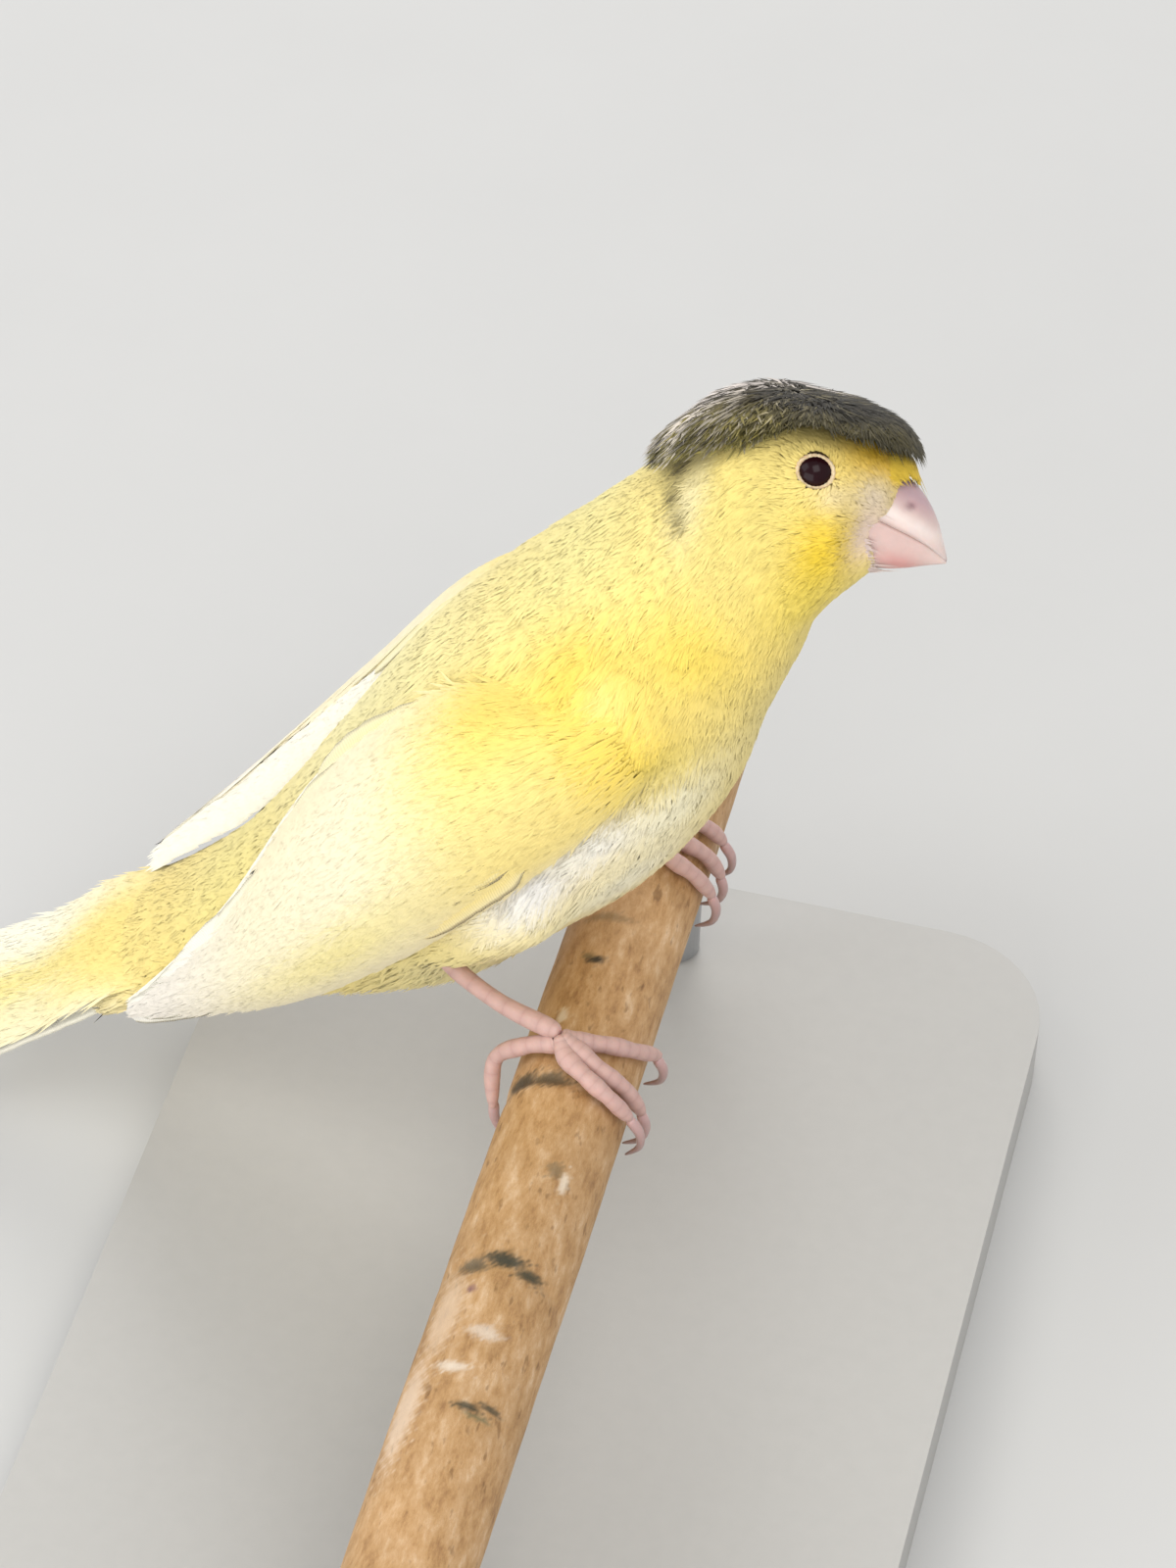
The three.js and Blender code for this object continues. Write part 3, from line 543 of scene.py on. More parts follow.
def coat_at(t, turn, lift=0.0):
    """The plumage's outer surface: the body, swollen over wings and thighs, grown by lift. Beside
    the gape it is drawn in, where feathers give way to the bill."""
    gape = GAPE_DEEP * step(*GAPE_STARTS, t) * hump(np.sin(turn), *GAPE_HEIGHT)
    return body_at(t, turn, swell_at(t, turn) + lift - gape)


# %% [markdown]
# ## Colours of the plumage
# A canary's markings are soft: lemon yellow that turns whitish on the rear of the wings, deeper
# yellow over the cheek and the shoulder, and pale on the flanks. Each marking is a soft ball of
# colour at its place on the bird, the same on both sides, mixed over the ones before it. The skin
# and every feather ask the same function, so that they always agree.


# %% Marking colours
def paint(code):
    """A colour written as six hexadecimal digits, as the linear light that shaders work in."""
    part = np.array([int(code[k : k + 2], 16) for k in (0, 2, 4)]) / 255
    return np.where(part <= 0.04045, part / 12.92, ((part + 0.055) / 1.055) ** 2.4)


def mixed(first, second, share):
    """The first colour, gone over to the second by a share for each point."""
    share = np.asarray(share, float)[..., None]
    return first * (1 - share) + second * share


BODY_AXES = np.array([[0.62, 0, 0.785], [-0.785, 0, 0.62], [0, 1, 0]])
LEMON = paint("F3DB84")
# space, centre, radii, colour, strength: "body" counts along the back, up to the back, sideways,
# and "head" forward, up, sideways
MARKINGS = [
    ("body", (10, 38, 0), (26, 12, 30), "F4EAAE", 0.85),
    ("body", (44, 40, 4), (9, 6, 9), "EFE49A", 0.7),
    ("body", (50, 28, 11), (6, 6, 7), "F8D94E", 0.7),
    ("body", (40, 33, 12), (7, 5, 6), "F3CF4A", 0.85),
    ("body", (30, 36, 14), (7, 5, 6), "F4D55E", 0.75),
    ("body", (22, 38, 16), (6, 4, 6), "F5DC7C", 0.6),
    ("body", (38, 26, 15), (5, 6, 5), "F5D24A", 0.8),
    ("body", (37, 21, 12), (5, 5, 5), "F9E06A", 0.6),
    ("body", (41, 31, 14), (2.5, 2.5, 4), "F8E993", 0.6),
    ("body", (33, 16, 11), (8, 3.6, 6), "F6F0D2", 0.85),
    ("body", (26, 19, 12), (5, 2.6, 6), "FDFBF2", 0.8),
    ("body", (16, 19, 14), (8, 3.4, 6), "FFFDF8", 0.97),
    ("body", (20, 12.5, 9), (10, 3, 9), "F3EFDC", 0.8),
    ("body", (14, 13, 14), (14, 2.6, 6), "EFE6B4", 0.5),
    ("body", (-4, 14, 8), (14, 9, 14), "EDE3A8", 0.7),
    ("body", (-18, 35, 2), (9, 7, 8), "F0E08E", 0.8),
    ("body", (52, 10, 0), (14, 12, 14), "F6E88C", 0.4),
    ("body", (-46, 33, 8), (7, 6, 3.0), "FAF4DA", 0.9),
    ("head", (-5, -3, 8), (6, 7, 6), "E6D27A", 0.85),
    ("head", (-11.5, -3, 6.5), (2.0, 4.5, 3.5), "F0E6BC", 0.6),
    ("head", (1.8, -4.6, 6.8), (3.0, 5.0, 4.5), "F6D233", 0.95),
    ("head", (1.0, -9.5, 3.5), (5, 4, 5), "F3D94E", 0.6),
    ("head", (4.0, 4.6, 3.4), (3.6, 2.4, 4.6), "FBC92A", 0.97),
    ("head", (4.6, 1.0, 5.2), (2.0, 1.8, 2.6), "EBD9B8", 0.9),
    ("head", (4.9, -2.2, 4.4), (1.9, 2.6, 2.6), "EBD3C8", 0.95),
    ("head", (1.4, 0.4, 7.6), (2.2, 1.5, 1.6), "EFDDB4", 0.6),
    ("head", (-13.2, -0.9, 2.6), (1.3, 1.6, 1.5), "51472A", 0.95),
    ("head", (-13.2, -3.6, 4.3), (1.0, 1.2, 1.3), "5E5430", 0.9),
    ("head", (-11.7, -5.4, 5.8), (0.8, 1.2, 1.2), "6E6238", 0.85),
    ("head", (-5.0, 8.4, 0.0), (9.0, 2.2, 6.6), "5E5433", 0.95),
]


def marking(points):
    """The plumage's colour at points: starting from lemon, each ball of colour is mixed in by
    strength times e to the minus squared distance from its centre, in radii."""
    body = points @ BODY_AXES.T
    head = in_head(points)
    colour = np.broadcast_to(LEMON, points.shape).copy()
    for space, centre, radii, code, strength in MARKINGS:
        q = (body if space == "body" else head).copy()
        q[:, 2] = np.abs(q[:, 2])
        away = ((q - np.array(centre)) / np.array(radii)) ** 2
        colour = mixed(colour, paint(code), strength * np.exp(-away.sum(1)))
    return colour


print(len(MARKINGS), "markings over lemon")

# %% [markdown]
# ## Materials
# Plumage scatters light softly, so its shader is rough with a little sheen. Its colour comes from
# the marking that each vertex carries, broken up by fine noise in the object's own space. The
# breaking up is a node group, because skin, coat, vanes and wood all use it.


# %% Node helpers
def put(made, values):
    """Sets a node's inputs or properties by name, where _ in a name stands for a space too."""
    for name, value in values.items():
        spaced = name.replace("_", " ")
        if spaced in made.inputs:
            made.inputs[spaced].default_value = value
        else:
            setattr(made, name, value)


def node(nodes, kind, **values):
    """A node with properties or input values set by name."""
    made = nodes.new(kind)
    put(made, values)
    return made


def new_material(name, **values):
    """A material, its nodes, its links and its one Principled shader with the values given."""
    made = bpy.data.materials.new(name)
    made.use_nodes = True
    nodes, links = made.node_tree.nodes, made.node_tree.links
    shader = nodes["Principled BSDF"]
    put(shader, values)
    return made, nodes, links, shader


def feed(links, value, place):
    """Feeds an input: with a link from a socket, or with a fixed value."""
    if isinstance(value, bpy.types.NodeSocket):
        links.new(value, place)
    else:
        place.default_value = value


def maths(nodes, links, operation, *values):
    """The outcome of a sum on up to three numbers, each a socket or a fixed number."""
    made = node(nodes, "ShaderNodeMath", operation=operation)
    for value, place in zip(values, made.inputs):
        feed(links, value, place)
    return made.outputs[0]


def scaled_colour(nodes, links, colour, share):
    """A colour socket times a number socket."""
    made = node(nodes, "ShaderNodeVectorMath", operation="SCALE")
    links.new(colour, made.inputs[0])
    links.new(share, made.inputs["Scale"])
    return made.outputs[0]


def carried(nodes, name):
    """The colour that a mesh carries under a name."""
    return node(nodes, "ShaderNodeAttribute", attribute_name=name).outputs["Color"]


def ramp(nodes, links, source, stops):
    """A colour ramp with the given stops, fed by a socket."""
    made = nodes.new("ShaderNodeValToRGB")
    links.new(source, made.inputs["Fac"])
    band = made.color_ramp
    while len(band.elements) < len(stops):
        band.elements.new(0.5)
    for element, (place, colour) in zip(band.elements, stops):
        element.position = place
        element.color = (*colour, 1)
    return made.outputs["Color"]


# %% A group for mottling
def new_group(name, **sockets):
    """A node group, its nodes, its links, and its two ends. Each socket is given by its name and
    the way and kind that it has."""
    group = bpy.data.node_groups.new(name, "ShaderNodeTree")
    for socket, kinds in sockets.items():
        for way, kind in kinds:
            group.interface.new_socket(socket, in_out=way, socket_type="NodeSocket" + kind)
    nodes = group.nodes
    return group, nodes, group.links, nodes.new("NodeGroupInput"), nodes.new("NodeGroupOutput")


def mottle_group():
    """Noise of several sizes: varies a colour by a share, and gives a height for a bump."""
    group, nodes, links, start, end = new_group(
        "mottle",
        Color=[("INPUT", "Color"), ("OUTPUT", "Color")],
        Scale=[("INPUT", "Float")],
        Share=[("INPUT", "Float")],
        Height=[("OUTPUT", "Float")],
    )
    place = nodes.new("ShaderNodeTexCoord")
    noise = node(nodes, "ShaderNodeTexNoise", Detail=5.0, Roughness=0.6)
    links.new(place.outputs["Object"], noise.inputs["Vector"])
    links.new(start.outputs["Scale"], noise.inputs["Scale"])
    centred = maths(nodes, links, "SUBTRACT", noise.outputs["Fac"], 0.5)
    share = maths(nodes, links, "MULTIPLY_ADD", centred, start.outputs["Share"], 1.0)
    varied = scaled_colour(nodes, links, start.outputs["Color"], share)
    links.new(varied, end.inputs["Color"])
    links.new(noise.outputs["Fac"], end.inputs["Height"])
    return group


MOTTLE = mottle_group()


def mottled(nodes, links, colour, scale, share):
    """A colour by way of the mottle group, and the group's height. The colour is a socket or a
    fixed colour."""
    made = node(nodes, "ShaderNodeGroup", node_tree=MOTTLE)
    put(made, {"Scale": scale, "Share": share})
    fixed = not isinstance(colour, bpy.types.NodeSocket)
    feed(links, (*colour, 1) if fixed else colour, made.inputs["Color"])
    return made.outputs["Color"], made.outputs["Height"]


def mottled_base(nodes, links, shader, colour, scale, share):
    """Gives a shader a mottled base colour, and returns the height for a bump."""
    varied, height = mottled(nodes, links, colour, scale, share)
    links.new(varied, shader.inputs["Base Color"])
    return height


def bump(nodes, links, shader, height, strength, distance):
    """A bump of so many metres, fed by a height socket, on the shader's normal."""
    made = node(nodes, "ShaderNodeBump", Strength=strength, Distance=distance)
    links.new(height, made.inputs["Height"])
    links.new(made.outputs["Normal"], shader.inputs["Normal"])


def plumage_material(name, scale, share, roughness):
    """Soft plumage whose colour is the marking carried by the mesh."""
    made, nodes, links, shader = new_material(
        name, Roughness=roughness, Specular_IOR_Level=0.25, Sheen_Weight=0.15
    )
    height = mottled_base(nodes, links, shader, carried(nodes, "Marking"), scale, share)
    bump(nodes, links, shader, height, 0.25, 0.0002)
    return made


COAT_FINISH = plumage_material("plumage", 900.0, 0.22, 0.8)
SKIN_FINISH = plumage_material("down", 1500.0, 0.15, 0.9)

# %% [markdown]
# ## One skin
# Under the feathers the body is one skin, from the base of the bill to the tail, with wings and
# thighs swelling it. It lies inside the coat by the coat's depth. One closed grid is enough, with
# the eye sockets pressed in, so that no seam shows between neck and body.

# %% Skin
COAT_DEPTH = 0.55
FACE_DEPTH = 0.35
SKIN_ROWS = 240
SKIN_AROUND = 176
EYE_R = 2.3
EYE_AT = np.array([-1.4, 1.95, 5.9])
# How far each eye looks ahead and up for one outward
EYE_AHEAD, EYE_UP = 0.22, 0.12
# The socket's depth, and the distances from the eye's axis between which it fades out
SOCKET_DEEP = 0.65
SOCKET_FADES = (1.45, 2.2)


def eye_frame(side):
    """An eye's centre and the way that it looks, in the bird's frame."""
    right = -OUT[side]
    centre = head_point(EYE_AT[0], EYE_AT[1], right * EYE_AT[2])
    axis = HEAD[2] * right + HEAD[0] * EYE_AHEAD + HEAD[1] * EYE_UP
    return centre, unit(axis)


def from_eye(side, points):
    """The part of the way from an eye to points that lies across its axis, and how far out of
    the head the points lie along that axis."""
    centre, axis = eye_frame(side)
    away = points - centre
    out = away @ axis
    return away - out[..., None] * axis, out


def socketed(points):
    """Points pressed in along the eyes' axes, in full near an axis and fading out round it."""
    pressed = points.copy()
    for side in "rl":
        across, out = from_eye(side, points)
        aside = np.linalg.norm(across, axis=-1)
        depth = SOCKET_DEEP * (1 - step(*SOCKET_FADES, aside)) * (out > 0)
        pressed = pressed - depth[..., None] * eye_frame(side)[1]
    return pressed


def unwrap(t, turn):
    """The skin's own unwrap: once round is the width, bill to tail is the height."""
    return np.stack([np.mod(turn, 2 * np.pi) / (2 * np.pi), t], -1)


def add_uv(made, name, values):
    """A UV map from one pair of numbers for each vertex."""
    layer = made.data.uv_layers.new(name=name)
    corner = np.empty(len(made.data.loops), np.int32)
    made.data.loops.foreach_get("vertex_index", corner)
    layer.data.foreach_set("uv", np.asarray(values, np.float32)[corner].ravel())


def add_skin():
    """The closed skin: the coat's surface at every t and turn, less the coat's depth, which is
    smaller on the face."""
    t = np.linspace(0.006, 0.997, SKIN_ROWS)
    turn = np.linspace(0, 2 * np.pi, SKIN_AROUND, endpoint=False)
    t2, turn2 = np.meshgrid(t, turn, indexing="ij")
    depth = FACE_DEPTH + (COAT_DEPTH - FACE_DEPTH) * (1 - step(0.72, 0.95, t2))
    grid = socketed(coat_at(t2, turn2, -depth))
    points = tube_points(grid)
    made = mesh_object("skin", points, outward(points, ring_faces(SKIN_ROWS, SKIN_AROUND)))
    give(made, "Marking", marking(points))
    flat = np.concatenate([unwrap(t2, turn2).reshape(-1, 2), [[0.5, 0.0], [0.5, 1.0]]])
    add_uv(made, "OFBake", flat)
    made.data.materials.append(SKIN_FINISH)
    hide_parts("head", "neck", "torso", "rump", "thigh_r", "thigh_l")
    return made


skin = add_skin()
print("skin:", len(skin.data.polygons), "faces")

# %% [markdown]
# ## The coat, tuft by tuft
# Small body feathers show as soft tufts of barbs. Each tuft here is a thin closed blade of ten
# triangles that starts in the skin and follows the surface toward the tail. Tufts fan out within
# unseen feathers about four millimetres wide, and that gives the plumage its faint scallops.
# Hair particles would be easier, but solid blades survive an export.

# %% Scattering roots
# A blade has seven points: left, right and ridge at its root, the same at its middle, and a tip
TUFT_SIDES = [[0, 1, 4], [0, 4, 3], [1, 2, 5], [1, 5, 4], [2, 0, 3], [2, 3, 5]]
TUFT_FACES = np.array([[0, 2, 1]] + TUFT_SIDES + [[3, 4, 6], [4, 5, 6], [5, 3, 6]])
PIECE_TUFTS = 19500


def tangents(surface, p, q, dp=0.003, dq=0.02):
    """How the surface moves for one step in each of its two parameters, and its normal, on the
    side to which the surface grows when it is lifted."""
    along_p = (surface(p + dp, q, 0.0) - surface(p - dp, q, 0.0)) / (2 * dp)
    along_q = (surface(p, q + dq, 0.0) - surface(p, q - dq, 0.0)) / (2 * dq)
    normal = unit(np.cross(along_p, along_q))
    grown = surface(p, q, 0.3) - surface(p, q, 0.0)
    inward = np.einsum("...k,...k->...", normal, grown) < 0
    return along_p, along_q, np.where(inward[..., None], -normal, normal)


def scatter(surface, p_span, q_span, count, weight, seed, cells=230):
    """Roots spread over a surface. Each cell of a fine grid gets its share of the count by its
    area times the weight, by counting off evenly along a path through the cells."""
    rng = np.random.default_rng(seed)
    p = p_span[0] + (np.arange(cells) + 0.5) / cells * (p_span[1] - p_span[0])
    q = q_span[0] + (np.arange(cells) + 0.5) / cells * (q_span[1] - q_span[0])
    p2, q2 = (x.ravel() for x in np.meshgrid(p, q, indexing="ij"))
    along_p, along_q, _ = tangents(surface, p2, q2)
    share = np.linalg.norm(np.cross(along_p, along_q), axis=-1)
    share = share * weight(p2, q2, surface(p2, q2, 0.0))
    total = np.cumsum(share)
    picks = (np.arange(count) + rng.uniform(0, 1, count)) / count * total[-1]
    cell = np.minimum(np.searchsorted(total, picks), cells * cells - 1)
    jitter = rng.uniform(-0.5, 0.5, (2, count))
    return (
        p2[cell] + jitter[0] * (p_span[1] - p_span[0]) / cells,
        q2[cell] + jitter[1] * (q_span[1] - q_span[0]) / cells,
        rng,
    )


# %% Blades
# How much narrower a blade is at its root, how far its shading turns to its edges, and half the
# width of its place in the unwrap
ROOT_SHARE = 0.75
EDGE_SHADE = 0.45
UNWRAP_HALF = 0.0012


def blades(name, roots, mids, tips, normals, facing, widths, thick, colours, flat):
    """Closed blades from three lines of points. A blade's root and middle are triangles as wide
    as given, with a ridge raised by thick, and its tip is a point. Colours are for root, middle
    and tip. Blades take their shading from the way that the plumage faces, not from their own
    sides. They are shared out over meshes of fewer than 200,000 triangles."""
    way = unit(tips - roots)
    side = unit(np.cross(normals, way))
    out = unit(np.cross(way, side))
    ring = []
    for centre, wide in ((roots, ROOT_SHARE * widths), (mids, widths)):
        half = side * (wide / 2)[:, None]
        ring += [centre - half, centre + half, centre + out * thick[:, None]]
    points = np.stack(ring + [tips], 1)
    x = np.array([-1, 1, 0, -1, 1, 0, 0])
    y = np.array([-1, -1, -1, 0, 0, 0, 1])
    shade = unit(facing[:, None] + side[:, None] * (EDGE_SHADE * x)[None, :, None])
    tint = np.stack([colours[0]] * 3 + [colours[1]] * 3 + [colours[2]], 1)
    maps = flat[:, None] + UNWRAP_HALF * np.stack([x, y], -1)[None]
    parts = int(np.ceil(len(roots) / PIECE_TUFTS))
    for k in range(parts):
        some = slice(k * len(roots) // parts, (k + 1) * len(roots) // parts)
        count = len(roots[some])
        faces = (TUFT_FACES[None] + 7 * np.arange(count)[:, None, None]).reshape(-1, 3)
        made = mesh_object(f"{name}_{k + 1}", points[some].reshape(-1, 3), faces)
        give(made, "Marking", tint[some].reshape(-1, 3))
        add_uv(made, "OFBake", maps[some].reshape(-1, 2))
        made.data.normals_split_custom_set_from_vertices(shade[some].reshape(-1, 3))
        made.data.materials.append(COAT_FINISH)
    print(name, len(roots), "tufts in", parts, "pieces")


def tufts(name, surface, p, q, way, length, width, lift, colour, flat, sink=-0.3, lean=0.0):
    """Blades of the coat's finish that follow a surface. way gives the direction of growth from
    the tangents, and the step in p and q that moves that way is solved from the dot products of
    the tangents, so that the middle and the tip of a blade lie on the surface too, raised by a
    share of lift. The root lies sink below the surface, and lean tilts the shading."""
    along_p, along_q, normal = tangents(surface, p, q)
    place = surface(p, q, 0.0)
    go = way(place, along_p, along_q, normal)
    go = unit(go - normal * np.einsum("ij,ij->i", go, normal)[:, None])
    pp, qq = np.einsum("ij,ij->i", along_p, along_p), np.einsum("ij,ij->i", along_q, along_q)
    pq = np.einsum("ij,ij->i", along_p, along_q)
    gp, gq = np.einsum("ij,ij->i", along_p, go), np.einsum("ij,ij->i", along_q, go)
    det = np.maximum(pp * qq - pq * pq, 1e-6)
    dp, dq = (gp * qq - gq * pq) / det, (gq * pp - gp * pq) / det
    roots = surface(p, q, sink + 0 * p)
    mids = surface(p + 0.5 * length * dp, q + 0.5 * length * dq, 0.5 * sink + 0.7 * lift)
    tips = surface(p + length * dp, q + length * dq, lift)
    middle = colour(mids)
    # Painted shade and light: each blade is darker at its root, where it sinks between other tufts,
    # and a little lighter at its tip.
    root_shade_tip_light = (middle * 0.93, middle, np.minimum(middle * 1.03, 1.0))
    width = np.broadcast_to(width, p.shape)
    thick = 0.09 + 0.18 * width
    facing = unit(normal + lean)
    blades(name, roots, mids, tips, normal, facing, width, thick, root_shade_tip_light, flat(p, q))


def brushed(rng, spread, middle=0.0):
    """A direction of growth along the first parameter, turned aside for each blade by a random
    amount of a given spread about a middle value."""

    def way(place, along_p, along_q, normal):
        fan = middle + rng.normal(0, spread, len(place))
        return unit(along_p) + unit(along_q) * fan[:, None]

    return way


def in_order(key, *values):
    """Values for each blade, put in the order of a key."""
    order = np.argsort(key)
    return [value[order] for value in values]


def sheet(p_span, q_span):
    """An unwrap that lays a sheet flat: its two spans fill the square, but for a narrow rim."""

    def flat(p, q):
        shares = [(p - p_span[0]) / (p_span[1] - p_span[0]), (q - q_span[0]) / (q_span[1] - q_span[0])]
        return 0.02 + 0.96 * np.stack(shares, -1)

    return flat


# %% Unseen feathers
FEATHERS_ROUND = 22
FEATHERS_PER_ROW = 2.6


def feather_cell(t, turn):
    """Where a root lies in its unseen feather: sideways from -1 to 1, lengthways from 0 at the
    root to 1 at the tip, and a number of the feather's own. Rows are staggered like bricks."""
    row = (1 - t) * LAST_ROW * FEATHERS_PER_ROW + 1.0
    row = row + 0.35 * np.sin(5 * turn + 1.3) + 0.3 * np.sin(9 * turn + 1.9 * row)
    i = np.floor(row).astype(int)
    column = np.mod(turn, 2 * np.pi) / (2 * np.pi) * FEATHERS_ROUND + 0.5 * (i % 2)
    column = column + 0.3 * np.sin(4 * turn + 2.3 * i)
    j = np.floor(column).astype(int) % FEATHERS_ROUND
    table = np.random.default_rng(11).uniform(0, 1, (64, FEATHERS_ROUND))
    return 2 * (column - np.floor(column)) - 1, row - i, table[i % 64, j]


# %% Coat of head and body
COAT_TUFTS = 79000
BARE_RING = 1.57
# How strongly tufts part round an eye, and the distances between which that fades out
PART_SHARE = 1.3
PART_FADES = (2.0, 4.2)
# The row of the spine and a tuft's length there, and the same for its width
TUFT_LENGTHS = ([0, 4, 7.5, 9.5, 11.5, 13, 15], [5, 4.6, 4.2, 3.0, 2.0, 1.5, 0.9])
TUFT_WIDTHS = ([0, 6, 9.5, 11.5, 15], [0.46, 0.46, 0.36, 0.27, 0.2])
# The fluffed vent: where it starts and ends along the spine, and how low on the body
VENT_STARTS, VENT_ENDS, VENT_LOW = (0.12, 0.18), (0.27, 0.36), (0.3, -0.25)


def bare(points):
    """1 where feathers grow and 0 on the rings round the eyes."""
    grows = np.ones(len(points))
    for side in "rl":
        across, out = from_eye(side, points)
        grows *= np.where((np.linalg.norm(across, axis=-1) < BARE_RING) & (out > 0), 0, 1)
    return grows


def parted(place, way):
    """A direction of growth, turned away from each eye on its own side of the head."""
    for side in "rl":
        across, out = from_eye(side, place)
        near = (1 - step(*PART_FADES, np.linalg.norm(across, axis=-1))) * (out > 0)
        way = way + unit(across) * (PART_SHARE * near)[:, None]
    return way


def tuft_size(t):
    """Length and width of a tuft: small by the bill, longer back to the rump and flanks."""
    return np.interp(t * LAST_ROW, *TUFT_LENGTHS), np.interp(t * LAST_ROW, *TUFT_WIDTHS)


def dense(t, turn, points):
    """The share of roots: more of the small tufts on head and face, none on bare skin."""
    length, width = tuft_size(t)
    return bare(points) / (length * width) ** 0.8 * (t > 0.05)


def add_coat(count):
    """The tufts of head and body. They are shorter near the eyes, raised toward the end of each
    unseen feather, and fluffed out at the vent."""
    t, turn, rng = scatter(coat_at, (0.05, 0.992), (0, 2 * np.pi), count, dense, seed=3)
    t, turn = in_order(-t, t, turn)
    sideways, lengthways, own = feather_cell(t, turn)
    fan = 0.5 * sideways + rng.normal(0, 0.10, count)
    place = coat_at(t, turn)
    length, width = tuft_size(t)
    length = length * (0.75 + 0.3 * own + rng.uniform(0, 0.25, count))
    near_eye = np.ones(count)
    for side in "rl":
        far = np.linalg.norm(place - eye_frame(side)[0], axis=1)
        near_eye = np.minimum(near_eye, 0.4 + 0.6 * step(3.0, 6.0, far))
    length = length * near_eye
    lift = 0.10 + 0.16 * lengthways * length / 4.5 + rng.uniform(-0.05, 0.12, count)
    vent = step(*VENT_STARTS, t) * (1 - step(*VENT_ENDS, t)) * step(*VENT_LOW, np.sin(turn))
    lift = lift + vent * rng.uniform(0.1, 1.3, count)

    def way(place, along_t, along_turn, normal):
        return parted(place, -unit(along_t) + unit(along_turn) * fan[:, None])

    # Tone differs at random from feather to feather. Each unseen feather is also a little darker
    # toward its root, as painted shade where the feather before lies over it.
    def colour(points):
        return marking(points) * (0.96 + 0.05 * own + 0.03 * lengthways)[:, None]

    tufts("coat", coat_at, t, turn, way, length, width, lift, colour, unwrap,
          -0.45)


add_coat(COAT_TUFTS)

# %% [markdown]
# ## Flight feathers
# A flight feather is a long vane: a thin cambered plate on a tapering shaft, with barbs that run
# out slantwise. Each one here is a closed tube of flat cross sections carried along a path on the
# wing, so its edge is thin and its tip round. Tiers of them overlap, from coverts to primaries.

# %% Vanes
VANE_X = np.array([-1, -0.72, -0.4, -0.12, 0, 0.12, 0.4, 0.72, 1, 0.6, 0.1, -0.1, -0.6])
VANE_TOP = np.array([0, 1, 1, 1, 1, 1, 1, 1, 0, -1, -1, -1, -1])
VANE_ROWS = 30
VANE_THICK = 0.07
# How wide a vane is at its root, and how far along it has opened and starts to close
VANE_ROOT, VANE_OPEN, VANE_CLOSES = 0.35, 0.3, 0.70
SHAFT_HIGH, SHAFT_WIDE = 0.16, 0.09


def vane_grid(path, normal, half, camber, roll, edge=0.0, seed=0):
    """A feather: at each point of its path a flat cross section, half wide, that arches by a
    parabola, with a raised shaft in the middle. Its width opens fast from the root and closes
    in a round tip, and its outer edge is nicked a little where barbs part."""
    u = np.linspace(0, 1, len(path))
    way = unit(np.gradient(path, axis=0))
    side = unit(np.cross(normal, way))
    out = np.cross(way, side)
    lean = np.radians(roll)
    side, out = side * np.cos(lean) + out * np.sin(lean), out * np.cos(lean) - side * np.sin(lean)
    wide = half * (VANE_ROOT + (1 - VANE_ROOT) * step(0, VANE_OPEN, u))
    shut = np.clip((u - VANE_CLOSES) / (1 - VANE_CLOSES), 0, 1)
    wide = wide * np.sqrt(np.clip(1 - shut**2.4, 0.0004, 1))
    nick = np.random.default_rng(seed).uniform(0, edge, len(u))[:, None] * (np.abs(VANE_X) > 0.9)
    across = wide[:, None] * VANE_X[None] * (1 - nick)
    shaft = SHAFT_HIGH * hump(VANE_X, 0, SHAFT_WIDE) * (VANE_TOP > 0)
    rise = camber * (1 - VANE_X**2)[None] + VANE_THICK * VANE_TOP[None]
    rise = rise * np.minimum(wide / half + 0.2, 1)[:, None] + shaft[None] * (1 - u)[:, None]
    grid = path[:, None] + side[:, None] * across[..., None] + out[:, None] * rise[..., None]
    return grid, np.broadcast_to(u[:, None], across.shape), np.broadcast_to(VANE_X, across.shape)


def vanes(name, feathers, node_name):
    """Many feathers as one mesh: closed tubes side by side in the arrays. The Vane map runs
    along each feather in centimetres and across it, and OFBake gives each its own square."""
    faces = ring_faces(*feathers[0][0].shape[:2])
    points, all_faces, tint, vane_map, bake_map = [], [], [], [], []
    wide = int(np.ceil(np.sqrt(len(feathers))))
    for k, (grid, u, x, colour, length) in enumerate(feathers):
        some = tube_points(grid)
        points.append(some)
        all_faces.append(outward(some - some.mean(0), faces) + k * len(some))
        ux = np.concatenate([np.stack([u, x], -1).reshape(-1, 2), [[0, 0], [1, 0]]])
        tint.append(np.concatenate([colour.reshape(-1, 3), colour[0, :1], colour[-1, :1]]))
        vane_map.append(ux * [length * 0.1, 0.5])
        corner = np.array([k % wide, k // wide])
        bake_map.append((corner + 0.1 + 0.8 * np.stack([(ux[:, 1] + 1) / 2, ux[:, 0]], -1)) / wide)
    made = mesh_object(name, np.concatenate(points), np.concatenate(all_faces))
    give(made, "Marking", np.concatenate(tint))
    add_uv(made, "Vane", np.concatenate(vane_map))
    add_uv(made, "OFBake", np.concatenate(bake_map))
    made.data.materials.append(VANE_FINISH)
    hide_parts(node_name)
    print(name, len(feathers), "feathers,", len(made.data.polygons), "faces")


